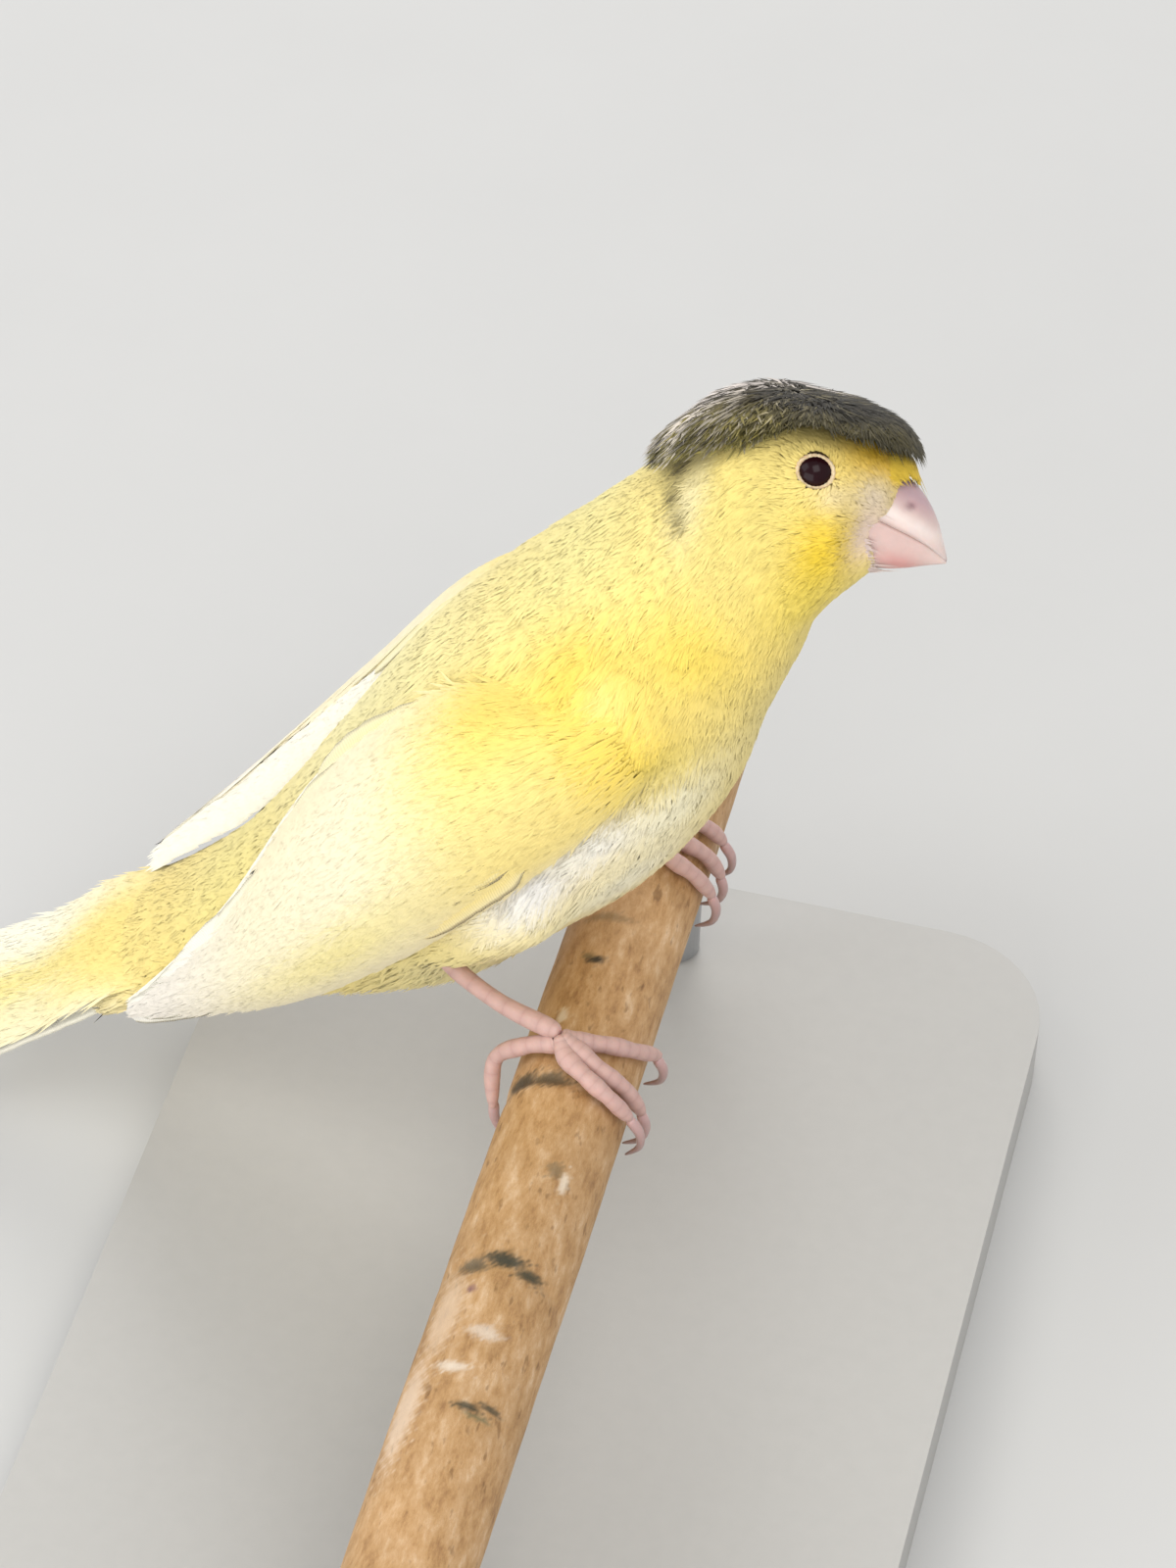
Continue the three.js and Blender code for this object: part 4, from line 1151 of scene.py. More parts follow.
# %% Barbs
def barb_group():
    """Slanting ridges that run out from a feather's shaft, from its own Vane map: the height is
    a wave of length along the shaft less slant times the distance from it."""
    group, nodes, links, start, end = new_group(
        "barbs",
        Fineness=[("INPUT", "Float")],
        Slant=[("INPUT", "Float")],
        Height=[("OUTPUT", "Float")],
    )
    place = node(nodes, "ShaderNodeUVMap", uv_map="Vane")
    parts = nodes.new("ShaderNodeSeparateXYZ")
    links.new(place.outputs[0], parts.inputs[0])
    away = maths(nodes, links, "ABSOLUTE", parts.outputs["Y"])
    slanted = maths(nodes, links, "MULTIPLY", away, start.outputs["Slant"])
    shifted = maths(nodes, links, "SUBTRACT", parts.outputs["X"], slanted)
    wobble = node(nodes, "ShaderNodeTexNoise", Scale=2.2, Detail=2.0)
    links.new(place.outputs[0], wobble.inputs["Vector"])
    bent = maths(nodes, links, "MULTIPLY_ADD", wobble.outputs["Fac"], 0.10, shifted)
    scaled = maths(nodes, links, "MULTIPLY", bent, start.outputs["Fineness"])
    links.new(maths(nodes, links, "SINE", scaled), end.inputs["Height"])
    return group


BARBS = barb_group()


def vane_material(name, share):
    """A flight feather: its carried colour, painted lighter on each barb and darker between, as
    painted light and shade on the barbs' ridges and grooves.
    """
    made, nodes, links, shader = new_material(name, Roughness=0.65, Specular_IOR_Level=0.3)
    varied, _ = mottled(nodes, links, carried(nodes, "Marking"), 1200.0, 0.14)
    barbs = node(nodes, "ShaderNodeGroup", node_tree=BARBS, Fineness=190.0, Slant=0.35)
    # Painted light and shade: the barbs' height makes the colour lighter on each ridge and darker in
    # each groove, by the share.
    tone = maths(nodes, links, "MULTIPLY_ADD", barbs.outputs["Height"], share, 1.0 - share / 2)
    links.new(scaled_colour(nodes, links, varied, tone), shader.inputs["Base Color"])
    bump(nodes, links, shader, barbs.outputs["Height"], 0.25, 0.00005)
    return made


VANE_FINISH = vane_material("flight_feather", 0.05)

# %% [markdown]
# ## Wings
# The photographed bird has pale wings: cream vanes with yellow outer edges, turning a greyish
# white toward the tip. Each tier is given by where its first and last feathers start and end on
# the wing, and the ones between are spread evenly.

# %% Wing feathers
WING_SEEDS = {"r": 21, "l": 22}
# count, first root a b, last root a b, first tip a b, last tip a b, half width, lift, whiteness
TIERS = [
    (8, (0.50, -0.70), (0.46, -0.10), (0.98, -0.20), (0.88, 0.80), 2.2, (0.0, 0.35), 1.0),
    (7, (0.38, -0.65), (0.36, 0.30), (0.68, -0.70), (0.84, 0.55), 2.8, (0.1, 0.4), 0.7),
    (4, (0.30, 0.20), (0.26, 0.60), (0.76, 0.50), (0.60, 0.92), 3.1, (0.35, 0.45), 0.45),
    (7, (0.24, -0.75), (0.22, 0.40), (0.47, -0.80), (0.53, 0.50), 2.9, (0.2, 0.3), 0.4),
]


def wing_rim(b):
    """How much of its thickness a wing keeps at b: all of it inside, less at its rounded edges."""
    return np.sqrt(np.clip(1 - 0.8 * np.abs(b) ** 6, 0.05, 1))


def wing_normal(side, a, b):
    """The outward direction of the wing's surface, away from the bird's middle."""
    a, b = np.clip(a, 0.02, 0.97), np.clip(b, -0.9, 0.9)
    _, _, normal = tangents(partial(wing_at, side), a, b)
    return normal * np.where(normal[..., 1:2] * OUT[side] < 0, -1, 1)


def add_wing(side):
    """All the flight feathers of one wing. They turn whitish toward the tip, and are lighter at
    their edges and along their shafts."""
    rng = np.random.default_rng(WING_SEEDS[side])
    feathers = []
    u = np.linspace(0, 1, VANE_ROWS)
    for count, root0, root1, tip0, tip1, half, lift, white in TIERS:
        for k in np.linspace(0, 1, count):
            root = np.array(root0) * (1 - k) + np.array(root1) * k
            tip = np.array(tip0) * (1 - k) + np.array(tip1) * k
            tip = tip + rng.uniform(-0.008, 0.008, 2)
            a = root[0] + (tip[0] - root[0]) * u
            b = root[1] + (tip[1] - root[1]) * u**1.2
            top = 0.3 + lift[0] + (lift[1] - lift[0]) * k
            raised = (wing_core(a) - 0.3 + top * np.minimum(1.7 * u, 1)) * wing_rim(b)
            path = wing_at(side, a, b, raised)
            normal = wing_normal(side, a, b)
            seed = int(rng.integers(1e6))
            grid, far, across = vane_grid(path, normal, half, 0.25, -2 * OUT[side], 0.08, seed)
            colour = marking(grid.reshape(-1, 3)).reshape(grid.shape)
            pale = mixed(paint("FBF5DC"), paint("F8F3E8"), white)
            colour = mixed(colour, pale, step(0.35, 0.95, a)[:, None])
            colour = mixed(colour, paint("FAF3D2"), 0.55 * step(0.45, 1.0, np.abs(across)))
            colour = mixed(colour, paint("F7F1DE"), 0.5 * hump(across, 0, 0.12))
            colour = colour * rng.uniform(0.95, 1.03)
            feathers.append((grid, far, across, colour, np.linalg.norm(path[-1] - path[0])))
    vanes("wing_feathers_" + side, feathers, "wing_" + side)


for side in "rl":
    add_wing(side)

# %% [markdown]
# ## Down over the wings
# On a plump canary the coverts and even the flight feathers look brushed and soft. Long fine
# barbs lie over the vanes, dense on the shoulder and thin toward the tip, so that the plates
# don't look like card. A thinner layer lines the inner side, and a narrow sheet of barbs folds
# from the upper rim toward the back, as the innermost feathers do.


# %% Wing barbs
UPWARD = np.array([0.0, 0.0, 1.0])
BARB_WIDE = 0.32
EDGE_WIDE = 3.5
EDGE_STARTS = {"r": 0.5, "l": 0.36}


def wing_colour(a, b):
    """Colours over a wing: the marking, going over to cream, then to a greyish white at the tip,
    with a yellower band along the lower edge."""

    def colour(points):
        shade = mixed(marking(points), paint("F4E9C6"), step(0.24, 0.5, a))
        shade = mixed(shade, paint("F6E68E"), 0.7 * hump(b, -0.62, 0.28) * hump(a, 0.52, 0.16))
        return mixed(shade, paint("E9E1D2"), step(0.66, 0.9, a))

    return colour


def one_colour(code, share):
    """The marking, gone over to a painted colour by one share."""

    def colour(points):
        return mixed(marking(points), paint(code), share)

    return colour


def add_wing_edge(side, count):
    """A soft edge: from the wing's upper rim a sheet of barbs folds over toward the back. It
    reaches inward by its width, and falls by the width times the square of the way across."""

    def surface(a, b, lift):
        a, b, lift = np.broadcast_arrays(a, b, lift)
        wide = EDGE_WIDE * step(0.3, 0.5, a) * (1 - 0.5 * step(0.8, 0.97, a))
        over = 0.9 * wing_core(a) * wing_rim(0.88) + 0.3
        rim = wing_at(side, a, 0.93 - 0.2 * step(0.7, 0.97, a), over)
        sag = 0.3 * np.sin(np.pi * b) - wide * b**2
        return rim + np.stack([0 * a, -OUT[side] * wide * b, sag + lift], -1)

    def evenly(a, b, points):
        return np.ones(len(a))

    a, b, rng = scatter(surface, (EDGE_STARTS[side], 0.95), (0, 1), count, evenly, seed=35)
    a, b = in_order(a, a, b)
    length = 3.4 + rng.uniform(-0.8, 1.2, count)
    lift = rng.uniform(0.1, 0.4, count)
    tufts("wing_edge_" + side, surface, a, b, brushed(rng, 0.06), length, BARB_WIDE, lift,
          one_colour("FCF8EA", 0.88), sheet((0, 1), (0, 1)), lean=1.2 * UPWARD)


def add_wing_layer(name, side, count, surface, weight, fan, most_lift, colour, rise):
    """Long thin blades over a surface of the wing, shorter toward its tip. The colour and the
    upward tilt of the shading, rise, are asked for the places of the roots."""
    a, b, rng = scatter(surface, (0.07, 0.94), (-0.98, 0.98), count, weight, seed=31)
    a, b = in_order(a, a, b)
    length = (3.8 + rng.uniform(-0.8, 1.4, count)) * (1 - 0.35 * step(0.8, 0.95, a))
    lift = rng.uniform(0.0, most_lift, count)
    tufts(name + side, surface, a, b, brushed(rng, *fan), length, BARB_WIDE, lift, colour(a, b),
          sheet((0, 1), (-1, 1)), lean=rise(b)[:, None] * UPWARD)


def add_wing_barbs(side, count):
    """Barbs on the outer side. They cover it but for a rim that widens toward the tip."""

    def surface(a, b, lift):
        over = (0.65 + 0.5 * (1 - step(0.5, 0.95, a))) * step(0.14, 0.5, a)
        return wing_at(side, a, b, (wing_core(a) + over) * wing_rim(b) + lift)

    def weight(a, b, points):
        top = 0.98 - 0.5 * step(0.62, 0.95, a)
        spread = (0.2 + 0.8 * step(0.08, 0.34, a)) * (1.1 - 0.15 * step(0.3, 0.95, a))
        return spread * (b > -top) * (b < top - 0.08)

    def rise(b):
        return 2.4 * step(0.5, 0.85, b)

    add_wing_layer("wing_barbs_", side, count, surface, weight, (0.2, 0), 0.26, wing_colour, rise)


def add_wing_lining(side, count):
    """Whitish barbs on the inner side by the body, more of them toward the upper rim."""

    def surface(a, b, lift):
        return wing_at(side, a, b, -(0.35 + lift) * wing_rim(b))

    def weight(a, b, points):
        return (a > 0.45) * (b > -0.5) * (b < 0.9) * (0.3 + step(-0.2, 0.5, b))

    def rise(b):
        return np.full(len(b), 1.6)

    def colour(a, b):
        return one_colour("FFFDF6", 0.95)

    add_wing_layer("wing_lining_", side, count, surface, weight, (0.1, -0.12), 0.5, colour, rise)


for side in "rl":
    add_wing_barbs(side, 17500)
    add_wing_lining(side, 2800)
    add_wing_edge(side, 3200)

# %% [markdown]
# ## Tail
# Twelve tail feathers lie nearly flat over one another, the outer ones lowest, with a notch at
# the end. They are yellow at the root and along the middle, and white on the outer edges.

# %% Tail feathers
TAIL_ROOT = np.array([-47.0, 2.1, -9.8])
TAIL_TIP = np.array([-72.0, 1.4, -28.2])
TAIL_ROLL = 12.0
TAIL_HALF = (7.7, 8.0)
TAIL_NOTCH = 2.0
TAIL_ARCH = 0.9
TAIL_COUNT = 12
TAIL_LENGTH = float(np.linalg.norm(TAIL_TIP - TAIL_ROOT))
TAIL_WAY = unit(TAIL_TIP - TAIL_ROOT)
TAIL_ASIDE = turned([0, 1.0, 0], TAIL_WAY, -TAIL_ROLL)
TAIL_ASIDE = unit(TAIL_ASIDE - TAIL_WAY * (TAIL_ASIDE @ TAIL_WAY))
TAIL_UP = np.cross(TAIL_ASIDE, TAIL_WAY)
TAIL_UP = TAIL_UP * np.sign(TAIL_UP[2])


def tail_at(a, b, lift=0.0):
    """The tail's sheet: a from its root to its tip, b from one side at -1 to the other at 1,
    arched by a parabola, and notched at the end."""
    a, b, lift = np.broadcast_arrays(a, b, lift)
    half = TAIL_HALF[0] + (TAIL_HALF[1] - TAIL_HALF[0]) * a
    reach = a * TAIL_LENGTH - TAIL_NOTCH * a**2 * (1 - np.abs(b))
    rise = (lift + TAIL_ARCH * (1 - b**2))[..., None]
    aside = (b * half)[..., None]
    return TAIL_ROOT + TAIL_WAY * reach[..., None] + TAIL_ASIDE * aside + TAIL_UP * rise


def add_tail():
    """The vanes of the tail, the middle pair on top. The outer ones, the tips and the edges are
    paler."""
    feathers = []
    u = np.linspace(0, 1, VANE_ROWS)
    for i in range(TAIL_COUNT):
        b = 2 * i / (TAIL_COUNT - 1) - 1
        path = tail_at(0.02 + 0.98 * u, b * (0.62 + 0.22 * u), 0.9 * (1 - abs(b)) - 0.35)
        up = np.broadcast_to(TAIL_UP, path.shape)
        grid, far, across = vane_grid(path, up, 2.1, 0.25, 4 * np.sign(b), 0.06, 40 + i)
        base = mixed(paint("F2E59E"), paint("FAF4DC"), abs(b))
        colour = mixed(base, paint("EEE6DA"), 0.5 * step(0.2, 1.0, far))
        colour = mixed(colour, paint("FBF6DF"), 0.5 * step(0.5, 1.0, np.abs(across)))
        feathers.append((grid, far, across, colour, TAIL_LENGTH))
    vanes("tail_feathers", feathers, "tail")


add_tail()

# %% Tail coverts
# name, side of the tail, how far back, how far aside, strength of the streak, count
TAIL_COVERTS = [("upper", 1, 0.93, 0.93, 0.9, 5200), ("under", -1, 0.5, 0.6, 0.3, 2400)]


def add_tail_coverts(name, sign, back, aside, strength, count):
    """Long soft blades over the whole tail, or under its root: yellow along a streak, and
    whitish to both sides of it."""

    def surface(a, b, lift):
        fluff = 0.9 + 1.0 * (1 - a)
        if sign > 0:
            fluff = 0.9 + 2.3 * (1 - step(0.05, 0.62, a)) - 1.2 * (1 - step(-0.05, 0.32, a))
        return tail_at(a, b, sign * (lift + fluff))

    def weight(a, b, points):
        return 1.3 - a

    def flat(a, b):
        return np.stack([0.3 + 0.6 * a, 0.5 + 0.45 * b], -1)

    a, b, rng = scatter(surface, (-0.05, back), (-aside, aside), count, weight, seed=47)
    a, b = in_order(a, a, b)
    length = (5.0 + rng.uniform(-1, 1.5, count)) * (1 - 0.3 * step(0.7, 0.93, a))
    lift = rng.uniform(0.0, 0.2, count)

    def colour(points):
        pale = mixed(paint("FCF6DC"), paint("F4E9BE"), step(-0.3, -0.7, b))
        pale = mixed(pale, paint("F0DC84"), strength * hump(b, -0.15, 0.42))
        return mixed(marking(points), pale, step(0.08, 0.5, a))

    tufts("tail_coverts_" + name, surface, a, b, brushed(rng, 0.13), length, 0.36, lift, colour,
          flat)


for row in TAIL_COVERTS:
    add_tail_coverts(*row)

# %% [markdown]
# ## Crest
# A crested canary wears a cap of long soft feathers that spread from one point on the crown and
# fall over the brow. Here they are fine blades that run out from that point in all directions,
# dark olive with paler barbs, and frayed at the brim.

# %% Crest
CREST_F = -4.7
CREST_U = 8.0
CREST_AHEAD = 11.5
CREST_BEHIND = 12.6
CREST_WIDE = 9.6
# How far the crest falls at its brim: behind, at the sides, and how much more at the rear sides
CREST_REAR_FALL = 8.4
CREST_SIDE_FALL, CREST_SIDE_MORE = 1.5, 1.4


def crest_at(reach, turn, lift=0.0):
    """The crest's dome: reach from its middle at 0 to its brim at 1, turn round from ahead. It
    falls with a power of reach, faster behind than in front."""
    reach, turn, lift = np.broadcast_arrays(reach, turn, lift)
    ahead = np.cos(turn) > 0
    f = CREST_F + np.where(ahead, CREST_AHEAD, CREST_BEHIND) * reach * np.cos(turn)
    r = CREST_WIDE * reach * np.sin(turn)
    far = np.abs(reach)
    fall = np.where(ahead, 0.2 * far**2 + 2.4 * far**6, CREST_REAR_FALL * far**2.4)
    side = CREST_SIDE_FALL + CREST_SIDE_MORE * step(0.35, -0.45, np.cos(turn))
    drop = fall * np.cos(turn) ** 2 + side * far**2.6 * np.sin(turn) ** 2
    return head_point(f, CREST_U + lift - drop, r)


def add_crest(count):
    """Blades running outward in layers. A layer hangs under the one above, more so behind, and
    is a little shorter, so that the brim is thick and ragged. Blades stand in unseen locks, each
    with its own height, slant and darkness."""

    def weight(reach, turn, points):
        return 0.9 + 0.5 * (reach > 0.55)

    reach, turn, rng = scatter(crest_at, (0.04, 0.9), (0, 2 * np.pi), count, weight, seed=51)
    depth = rng.uniform(0, 1, count) ** 1.3
    reach, turn, depth = in_order(-reach, reach, turn, depth)
    behind = np.clip(-np.cos(turn), 0, 1)
    back = step(0.3, -0.35, np.cos(turn))
    row = (reach * 5 + 0.4 * np.sin(3 * turn) + 0.3 * np.sin(7 * turn + 2)).astype(int)
    column = (turn / (2 * np.pi) * (7 + 5 * row) + 0.37 * row).astype(int)
    table = np.random.default_rng(52).uniform(0, 1, (12, 64, 3))
    lock, high, tone = table[row % 12, column % 64].T
    under = depth * (0.1 + 2.8 * back) * step(0.35, 0.9, reach)
    grey = rng.uniform(0, 1, count) < 0.12 + 0.2 * (tone > 0.6) + 0.45 * behind
    length = (2.8 + 1.6 * lock) * (0.7 + rng.uniform(0, 0.6, count))
    most = (1.05 + 0.07 * rng.uniform(-1, 1, count) - 0.10 * depth - reach) * CREST_AHEAD
    most = most + 1.2 * behind * (high > 0.6)
    length = np.clip(length, 0.8, np.maximum(most, 0.8))
    end = reach + length / CREST_AHEAD
    droop = step(0.75, 1.05, end) * rng.uniform(0, 1.0, count) * (0.25 + back)
    lift = rng.uniform(0.0, 0.4, count) + 0.45 * high + 0.25 * (1 - reach) - droop

    def hanging(reach, turn, lift):
        return crest_at(reach, turn, lift - under)

    def colour(points):
        brim = step(0.6, 1.0, reach + 0.15) * (0.3 + 0.7 * depth) * (0.3 + 0.65 * back)
        base = mixed(paint("39311C"), paint("C9B962"), brim)
        pale = mixed(paint("8F845F"), paint("EADFD6"), behind)
        base = mixed(base, pale, 0.65 * grey)
        shade = (0.55 + 0.7 * tone) * (0.7 + 0.45 * back) * rng.uniform(0.75, 1.25, count)
        return base * shade[:, None]

    def flat(reach, turn):
        return 0.5 + 0.45 * reach[:, None] * np.stack([np.cos(turn), np.sin(turn)], -1)

    tufts("crest", hanging, reach, turn, brushed(rng, 0.2, 0.7 * (lock - 0.5)), length, 0.27, lift,
          colour, flat)


add_crest(13000)

# %% [markdown]
# ## Bristles at the bill
# Short bristles lie forward over the base of the bill and hide its edge. They are yellow on the
# forehead, where they reach furthest, and beige at the sides.

# %% Lores
# forward, top, line of the mouth, bottom, half width
MUZZLE_ROWS = [
    [3.4, 5.6, -0.6, -6.3, 4.9],
    [4.8, 5.3, -0.7, -5.9, 4.2],
    [6.2, 4.8, -1.0, -5.5, 3.7],
    [7.4, 3.0, -1.3, -5.1, 3.2],
    [8.4, 2.0, -1.5, -4.8, 2.8],
]
SIDE_EDGE, FOREHEAD_MORE, CHIN_MORE = 4.1, 3.5, 1.4


def muzzle_at(p, turn, lift=0.0):
    """A cone round the base of the bill: ovals from the face at 0 forward to 1."""
    p, turn, lift = np.broadcast_arrays(p, turn, lift)
    f, top, mouth, bottom, wide = np.moveaxis(along(MUZZLE_ROWS, p), -1, 0)
    tall = np.where(np.sin(turn) > 0, top - mouth, mouth - bottom) + lift
    return head_point(f, mouth + np.sin(turn) * tall, np.cos(turn) * (wide + lift))


def bristle_edge(turn):
    """How far forward feathers reach: least at the sides, further on the forehead and chin, with
    a ragged line."""
    ragged = 0.25 * np.sin(9 * turn + 1) + 0.2 * np.sin(23 * turn)
    top, chin = np.maximum(np.sin(turn), 0) ** 1.6, np.maximum(-np.sin(turn), 0) ** 2
    return SIDE_EDGE + ragged + FOREHEAD_MORE * top + CHIN_MORE * chin


def add_bristles(count):
    """Fine blades that point forward, each ending where the feathers end at its height."""

    def weight(p, turn, points):
        return 1.0 * (along(MUZZLE_ROWS, p)[..., 0] < bristle_edge(turn) - 0.7)

    p, turn, rng = scatter(muzzle_at, (0.0, 0.9), (0, 2 * np.pi), count, weight, seed=61)
    free = bristle_edge(turn) - along(MUZZLE_ROWS, p)[..., 0]
    length = np.clip(free + rng.normal(0, 0.35, count), 0.5, 1.8)
    lift = rng.uniform(0.05, 0.3, count)

    def colour(points):
        tone = mixed(paint("E8D2C8"), paint("F2CE4A"), step(1.6, 3.0, in_head(points)[:, 1]))
        return tone * rng.uniform(0.92, 1.04, count)[:, None]

    tufts("bristles", muzzle_at, p, turn, brushed(rng, 0.2), length, 0.16, lift, colour, unwrap)


add_bristles(3000)

# %% [markdown]
# ## Eyes
# A bird's eye is a dark glossy ball that fills its opening, with a narrow ring of bare pinkish
# skin. The ball is a sphere from two angles. The ring is a thin tube whose thickness ripples, as
# the lids' small folds do.


# %% Eyes and lids
def eye_material():
    """A dark maroon ball, a little blotched, with a glossy surface."""
    made, nodes, links, shader = new_material("eye", Roughness=0.16, Specular_IOR_Level=0.16)
    mottled_base(nodes, links, shader, paint("220A0E"), 600.0, 0.6)
    return made


def eyelid_material():
    """Bare skin: two tones mixed by noise, with fine wrinkles."""
    made, nodes, links, shader = new_material(
        "eyelid", Roughness=0.7, Subsurface_Weight=0.15, Subsurface_Radius=(1.0, 0.4, 0.25),
        Subsurface_Scale=0.0006,
    )
    place = nodes.new("ShaderNodeTexCoord")
    noise = node(nodes, "ShaderNodeTexNoise", Scale=2600.0, Detail=4.0)
    links.new(place.outputs["Object"], noise.inputs["Vector"])
    stops = [(0.35, paint("CDAE86")), (0.65, paint("E4CFA6"))]
    links.new(ramp(nodes, links, noise.outputs["Fac"], stops), shader.inputs["Base Color"])
    bump(nodes, links, shader, noise.outputs["Fac"], 0.4, 0.0001)
    return made


EYE_FINISH = eye_material()
LID_FINISH = eyelid_material()
EYE_SUNK = 0.35
# The ring of the lids: its radius, half its thickness, how far out it lies, and how it is cut up
LID_RING = 1.62
LID_TUBE = 0.22
LID_OUT = 1.66
LID_ROWS, LID_AROUND = 96, 14


def ball(centre, radius, rows=40, around=56):
    """A sphere: rows of circles from one pole to the other."""
    down = np.linspace(0.02, np.pi - 0.02, rows)[:, None]
    turn = np.linspace(0, 2 * np.pi, around, endpoint=False)[None]
    x, y = np.sin(down) * np.cos(turn), np.sin(down) * np.sin(turn)
    return centre + radius * np.stack([x, y, np.broadcast_to(np.cos(down), x.shape)], -1)


def torus_faces(rows, around):
    """Triangles of a ring of rings, wrapped both ways."""
    i, j = np.meshgrid(np.arange(rows), np.arange(around), indexing="ij")
    a, b = i * around + j, i * around + (j + 1) % around
    c, d = ((i + 1) % rows) * around + (j + 1) % around, ((i + 1) % rows) * around + j
    return np.concatenate([np.stack([a, b, c], -1), np.stack([a, c, d], -1)]).reshape(-1, 3)


def add_eye(side):
    """An eyeball, and round it the rippled ring of its lids, which is a little less tall than
    wide."""
    centre, axis = eye_frame(side)
    made = tube("eyeball_" + side, ball(centre + axis * EYE_SUNK, EYE_R - EYE_SUNK))
    made.data.materials.append(EYE_FINISH)
    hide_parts("eye_" + side)
    first = unit(np.cross(axis, HEAD[1]))
    second = np.cross(axis, first)
    turn = np.linspace(0, 2 * np.pi, LID_ROWS, endpoint=False)[:, None]
    ring = np.linspace(0, 2 * np.pi, LID_AROUND, endpoint=False)[None]
    away = first * np.cos(turn)[..., None] + second * np.sin(turn)[..., None]
    thick = LID_TUBE * (0.9 + 0.10 * np.sin(23 * turn) + 0.05 * np.sin(41 * turn + 1))
    wide = LID_RING * (1.0 - 0.14 * np.sin(turn) ** 2) + thick * np.cos(ring)
    raised = LID_OUT + 0.8 * thick * np.sin(ring)
    points = (centre + away * wide[..., None] + axis * raised[..., None]).reshape(-1, 3)
    faces = outward(points - centre, torus_faces(LID_ROWS, LID_AROUND))
    lid = mesh_object("eyelid_" + side, points, faces)
    lid.data.materials.append(LID_FINISH)


for side in "rl":
    add_eye(side)
print("two eyes")

# %% [markdown]
# ## Bill
# The bill is a short cone of flesh-pink horn in two halves that meet along the line of the mouth.
# Both halves are the same kind of surface: at each step from the face to the tip, an arch over
# the mouth line or under it, closed by a flat side where the halves meet.

# %% Bill
# forward, top, line of the mouth, bottom, half width
BILL_ROWS = [
    [3.2, 3.4, -0.3, -5.7, 4.5],
    [6.2, 3.1, -1.0, -5.3, 3.7],
    [8.2, 1.9, -1.5, -4.7, 2.9],
    [9.9, 0.0, -2.1, -4.0, 1.9],
    [11.6, -3.0, -3.1, -3.35, 0.28],
]
# How much narrower the lower half is, the power of each arch, the gap on each side of the mouth
# line, and how far the upper half's cutting edge hangs over it
LOWER_SHARE = 0.93
BILL_ARCH = {True: 0.92, False: 0.85}
MOUTH_GAP = 0.06
CUTTING_EDGE = 0.16


def bill_grid(upper):
    """One half of the bill: an arch from side to side, a little fuller than half an oval, and
    back along the mouth line."""
    t = np.linspace(0, 1, 56) ** 0.9
    row = along(BILL_ROWS, t)
    f, top, mouth, bottom, wide = (row[:, k][:, None] for k in range(5))
    turn = np.linspace(0, np.pi, 31)[None]
    sign = 1 if upper else -1
    tall = (top - mouth) if upper else (mouth - bottom)
    arch = np.sin(turn) ** BILL_ARCH[upper]
    shut = np.sqrt(1 - step(0.965, 1.0, t)[:, None] * 0.9)
    wide = wide * shut * (1.0 if upper else LOWER_SHARE)
    x = np.cos(turn) * wide
    y = mouth + sign * (MOUTH_GAP + tall * arch)
    y = y - upper * CUTTING_EDGE * (1 - np.abs(np.sin(turn))) ** 6
    flat = np.linspace(-0.9, 0.9, 9)[None] * wide
    level = np.broadcast_to(mouth + sign * (MOUTH_GAP - 0.01), flat.shape)
    x, y = np.concatenate([x, flat], 1), np.concatenate([y, level], 1)
    return head_point(np.broadcast_to(f, x.shape), y, x)


def horn_material(name, roughness):
    """Horn: a carried colour, faintly mottled and uneven, with light passing under its surface."""
    made, nodes, links, shader = new_material(
        name, Roughness=roughness, Coat_Weight=0.25, Coat_Roughness=0.25, Subsurface_Weight=0.25,
        Subsurface_Radius=(1.0, 0.45, 0.3), Subsurface_Scale=0.0008,
    )
    height = mottled_base(nodes, links, shader, carried(nodes, "Marking"), 900.0, 0.18)
    bump(nodes, links, shader, height, 0.3, 0.00008)
    return made


BILL_FINISH = horn_material("bill_horn", 0.38)
NOSTRIL_DEEP = 0.3


def add_bill():
    """Both halves, coloured from mauve at the ridge to flesh, with a pale band between that is a
    painted highlight, a reddish blush on the lower half, a paler tip, and a small nostril on each
    side, painted dark as painted shade in its hollow."""
    for upper, name in ((True, "bill_upper"), (False, "bill_lower")):
        grid = bill_grid(upper)
        points = tube_points(grid)
        f, u, r = in_head(points).T
        nostril = hump(f, 7.5, 0.42) * hump(u, 1.0, 0.3) * (np.abs(r) > 1) * upper
        points = points - HEAD[2] * (np.sign(r) * NOSTRIL_DEEP * nostril)[:, None]
        faces = outward(points - points.mean(0), ring_faces(*grid.shape[:2]))
        made = mesh_object(name + "_horn", points, faces)
        blush = hump(f, 7.8, 2.2) * hump(u, -4.5, 1.0) * (not upper)
        line = u + 0.3 + 0.28 * (f - 3.2)
        colour = mixed(paint("D2B4AB"), paint("D08C86"), 0.8 * blush)
        # Painted highlight: a pale band along the side of the upper half.
        colour = mixed(colour, paint("EFE3D9"), 0.7 * hump(line, 1.1, 0.8) * upper)
        colour = mixed(colour, paint("B8959C"), 0.75 * step(1.6, 3.6, line))
        colour = mixed(colour, paint("EBD6CB"), 0.5 * step(8.5, 11.6, f))
        # Painted shade: the nostril's hollow is painted dark.
        colour = mixed(colour, paint("80545A"), 0.75 * nostril)
        give(made, "Marking", colour)
        made.data.materials.append(BILL_FINISH)
        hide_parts(name)


add_bill()
print("bill in two halves")

# %% [markdown]
# ## Legs, toes and claws
# The bare legs are scaly and pink. A leg and each toe is a limb along a smooth curve, thicker at
# the joints and at the pads, and each claw is a thinning hook that curves round the perch. Rings
# of scutes are ridges across the limb, from a map that counts along it.

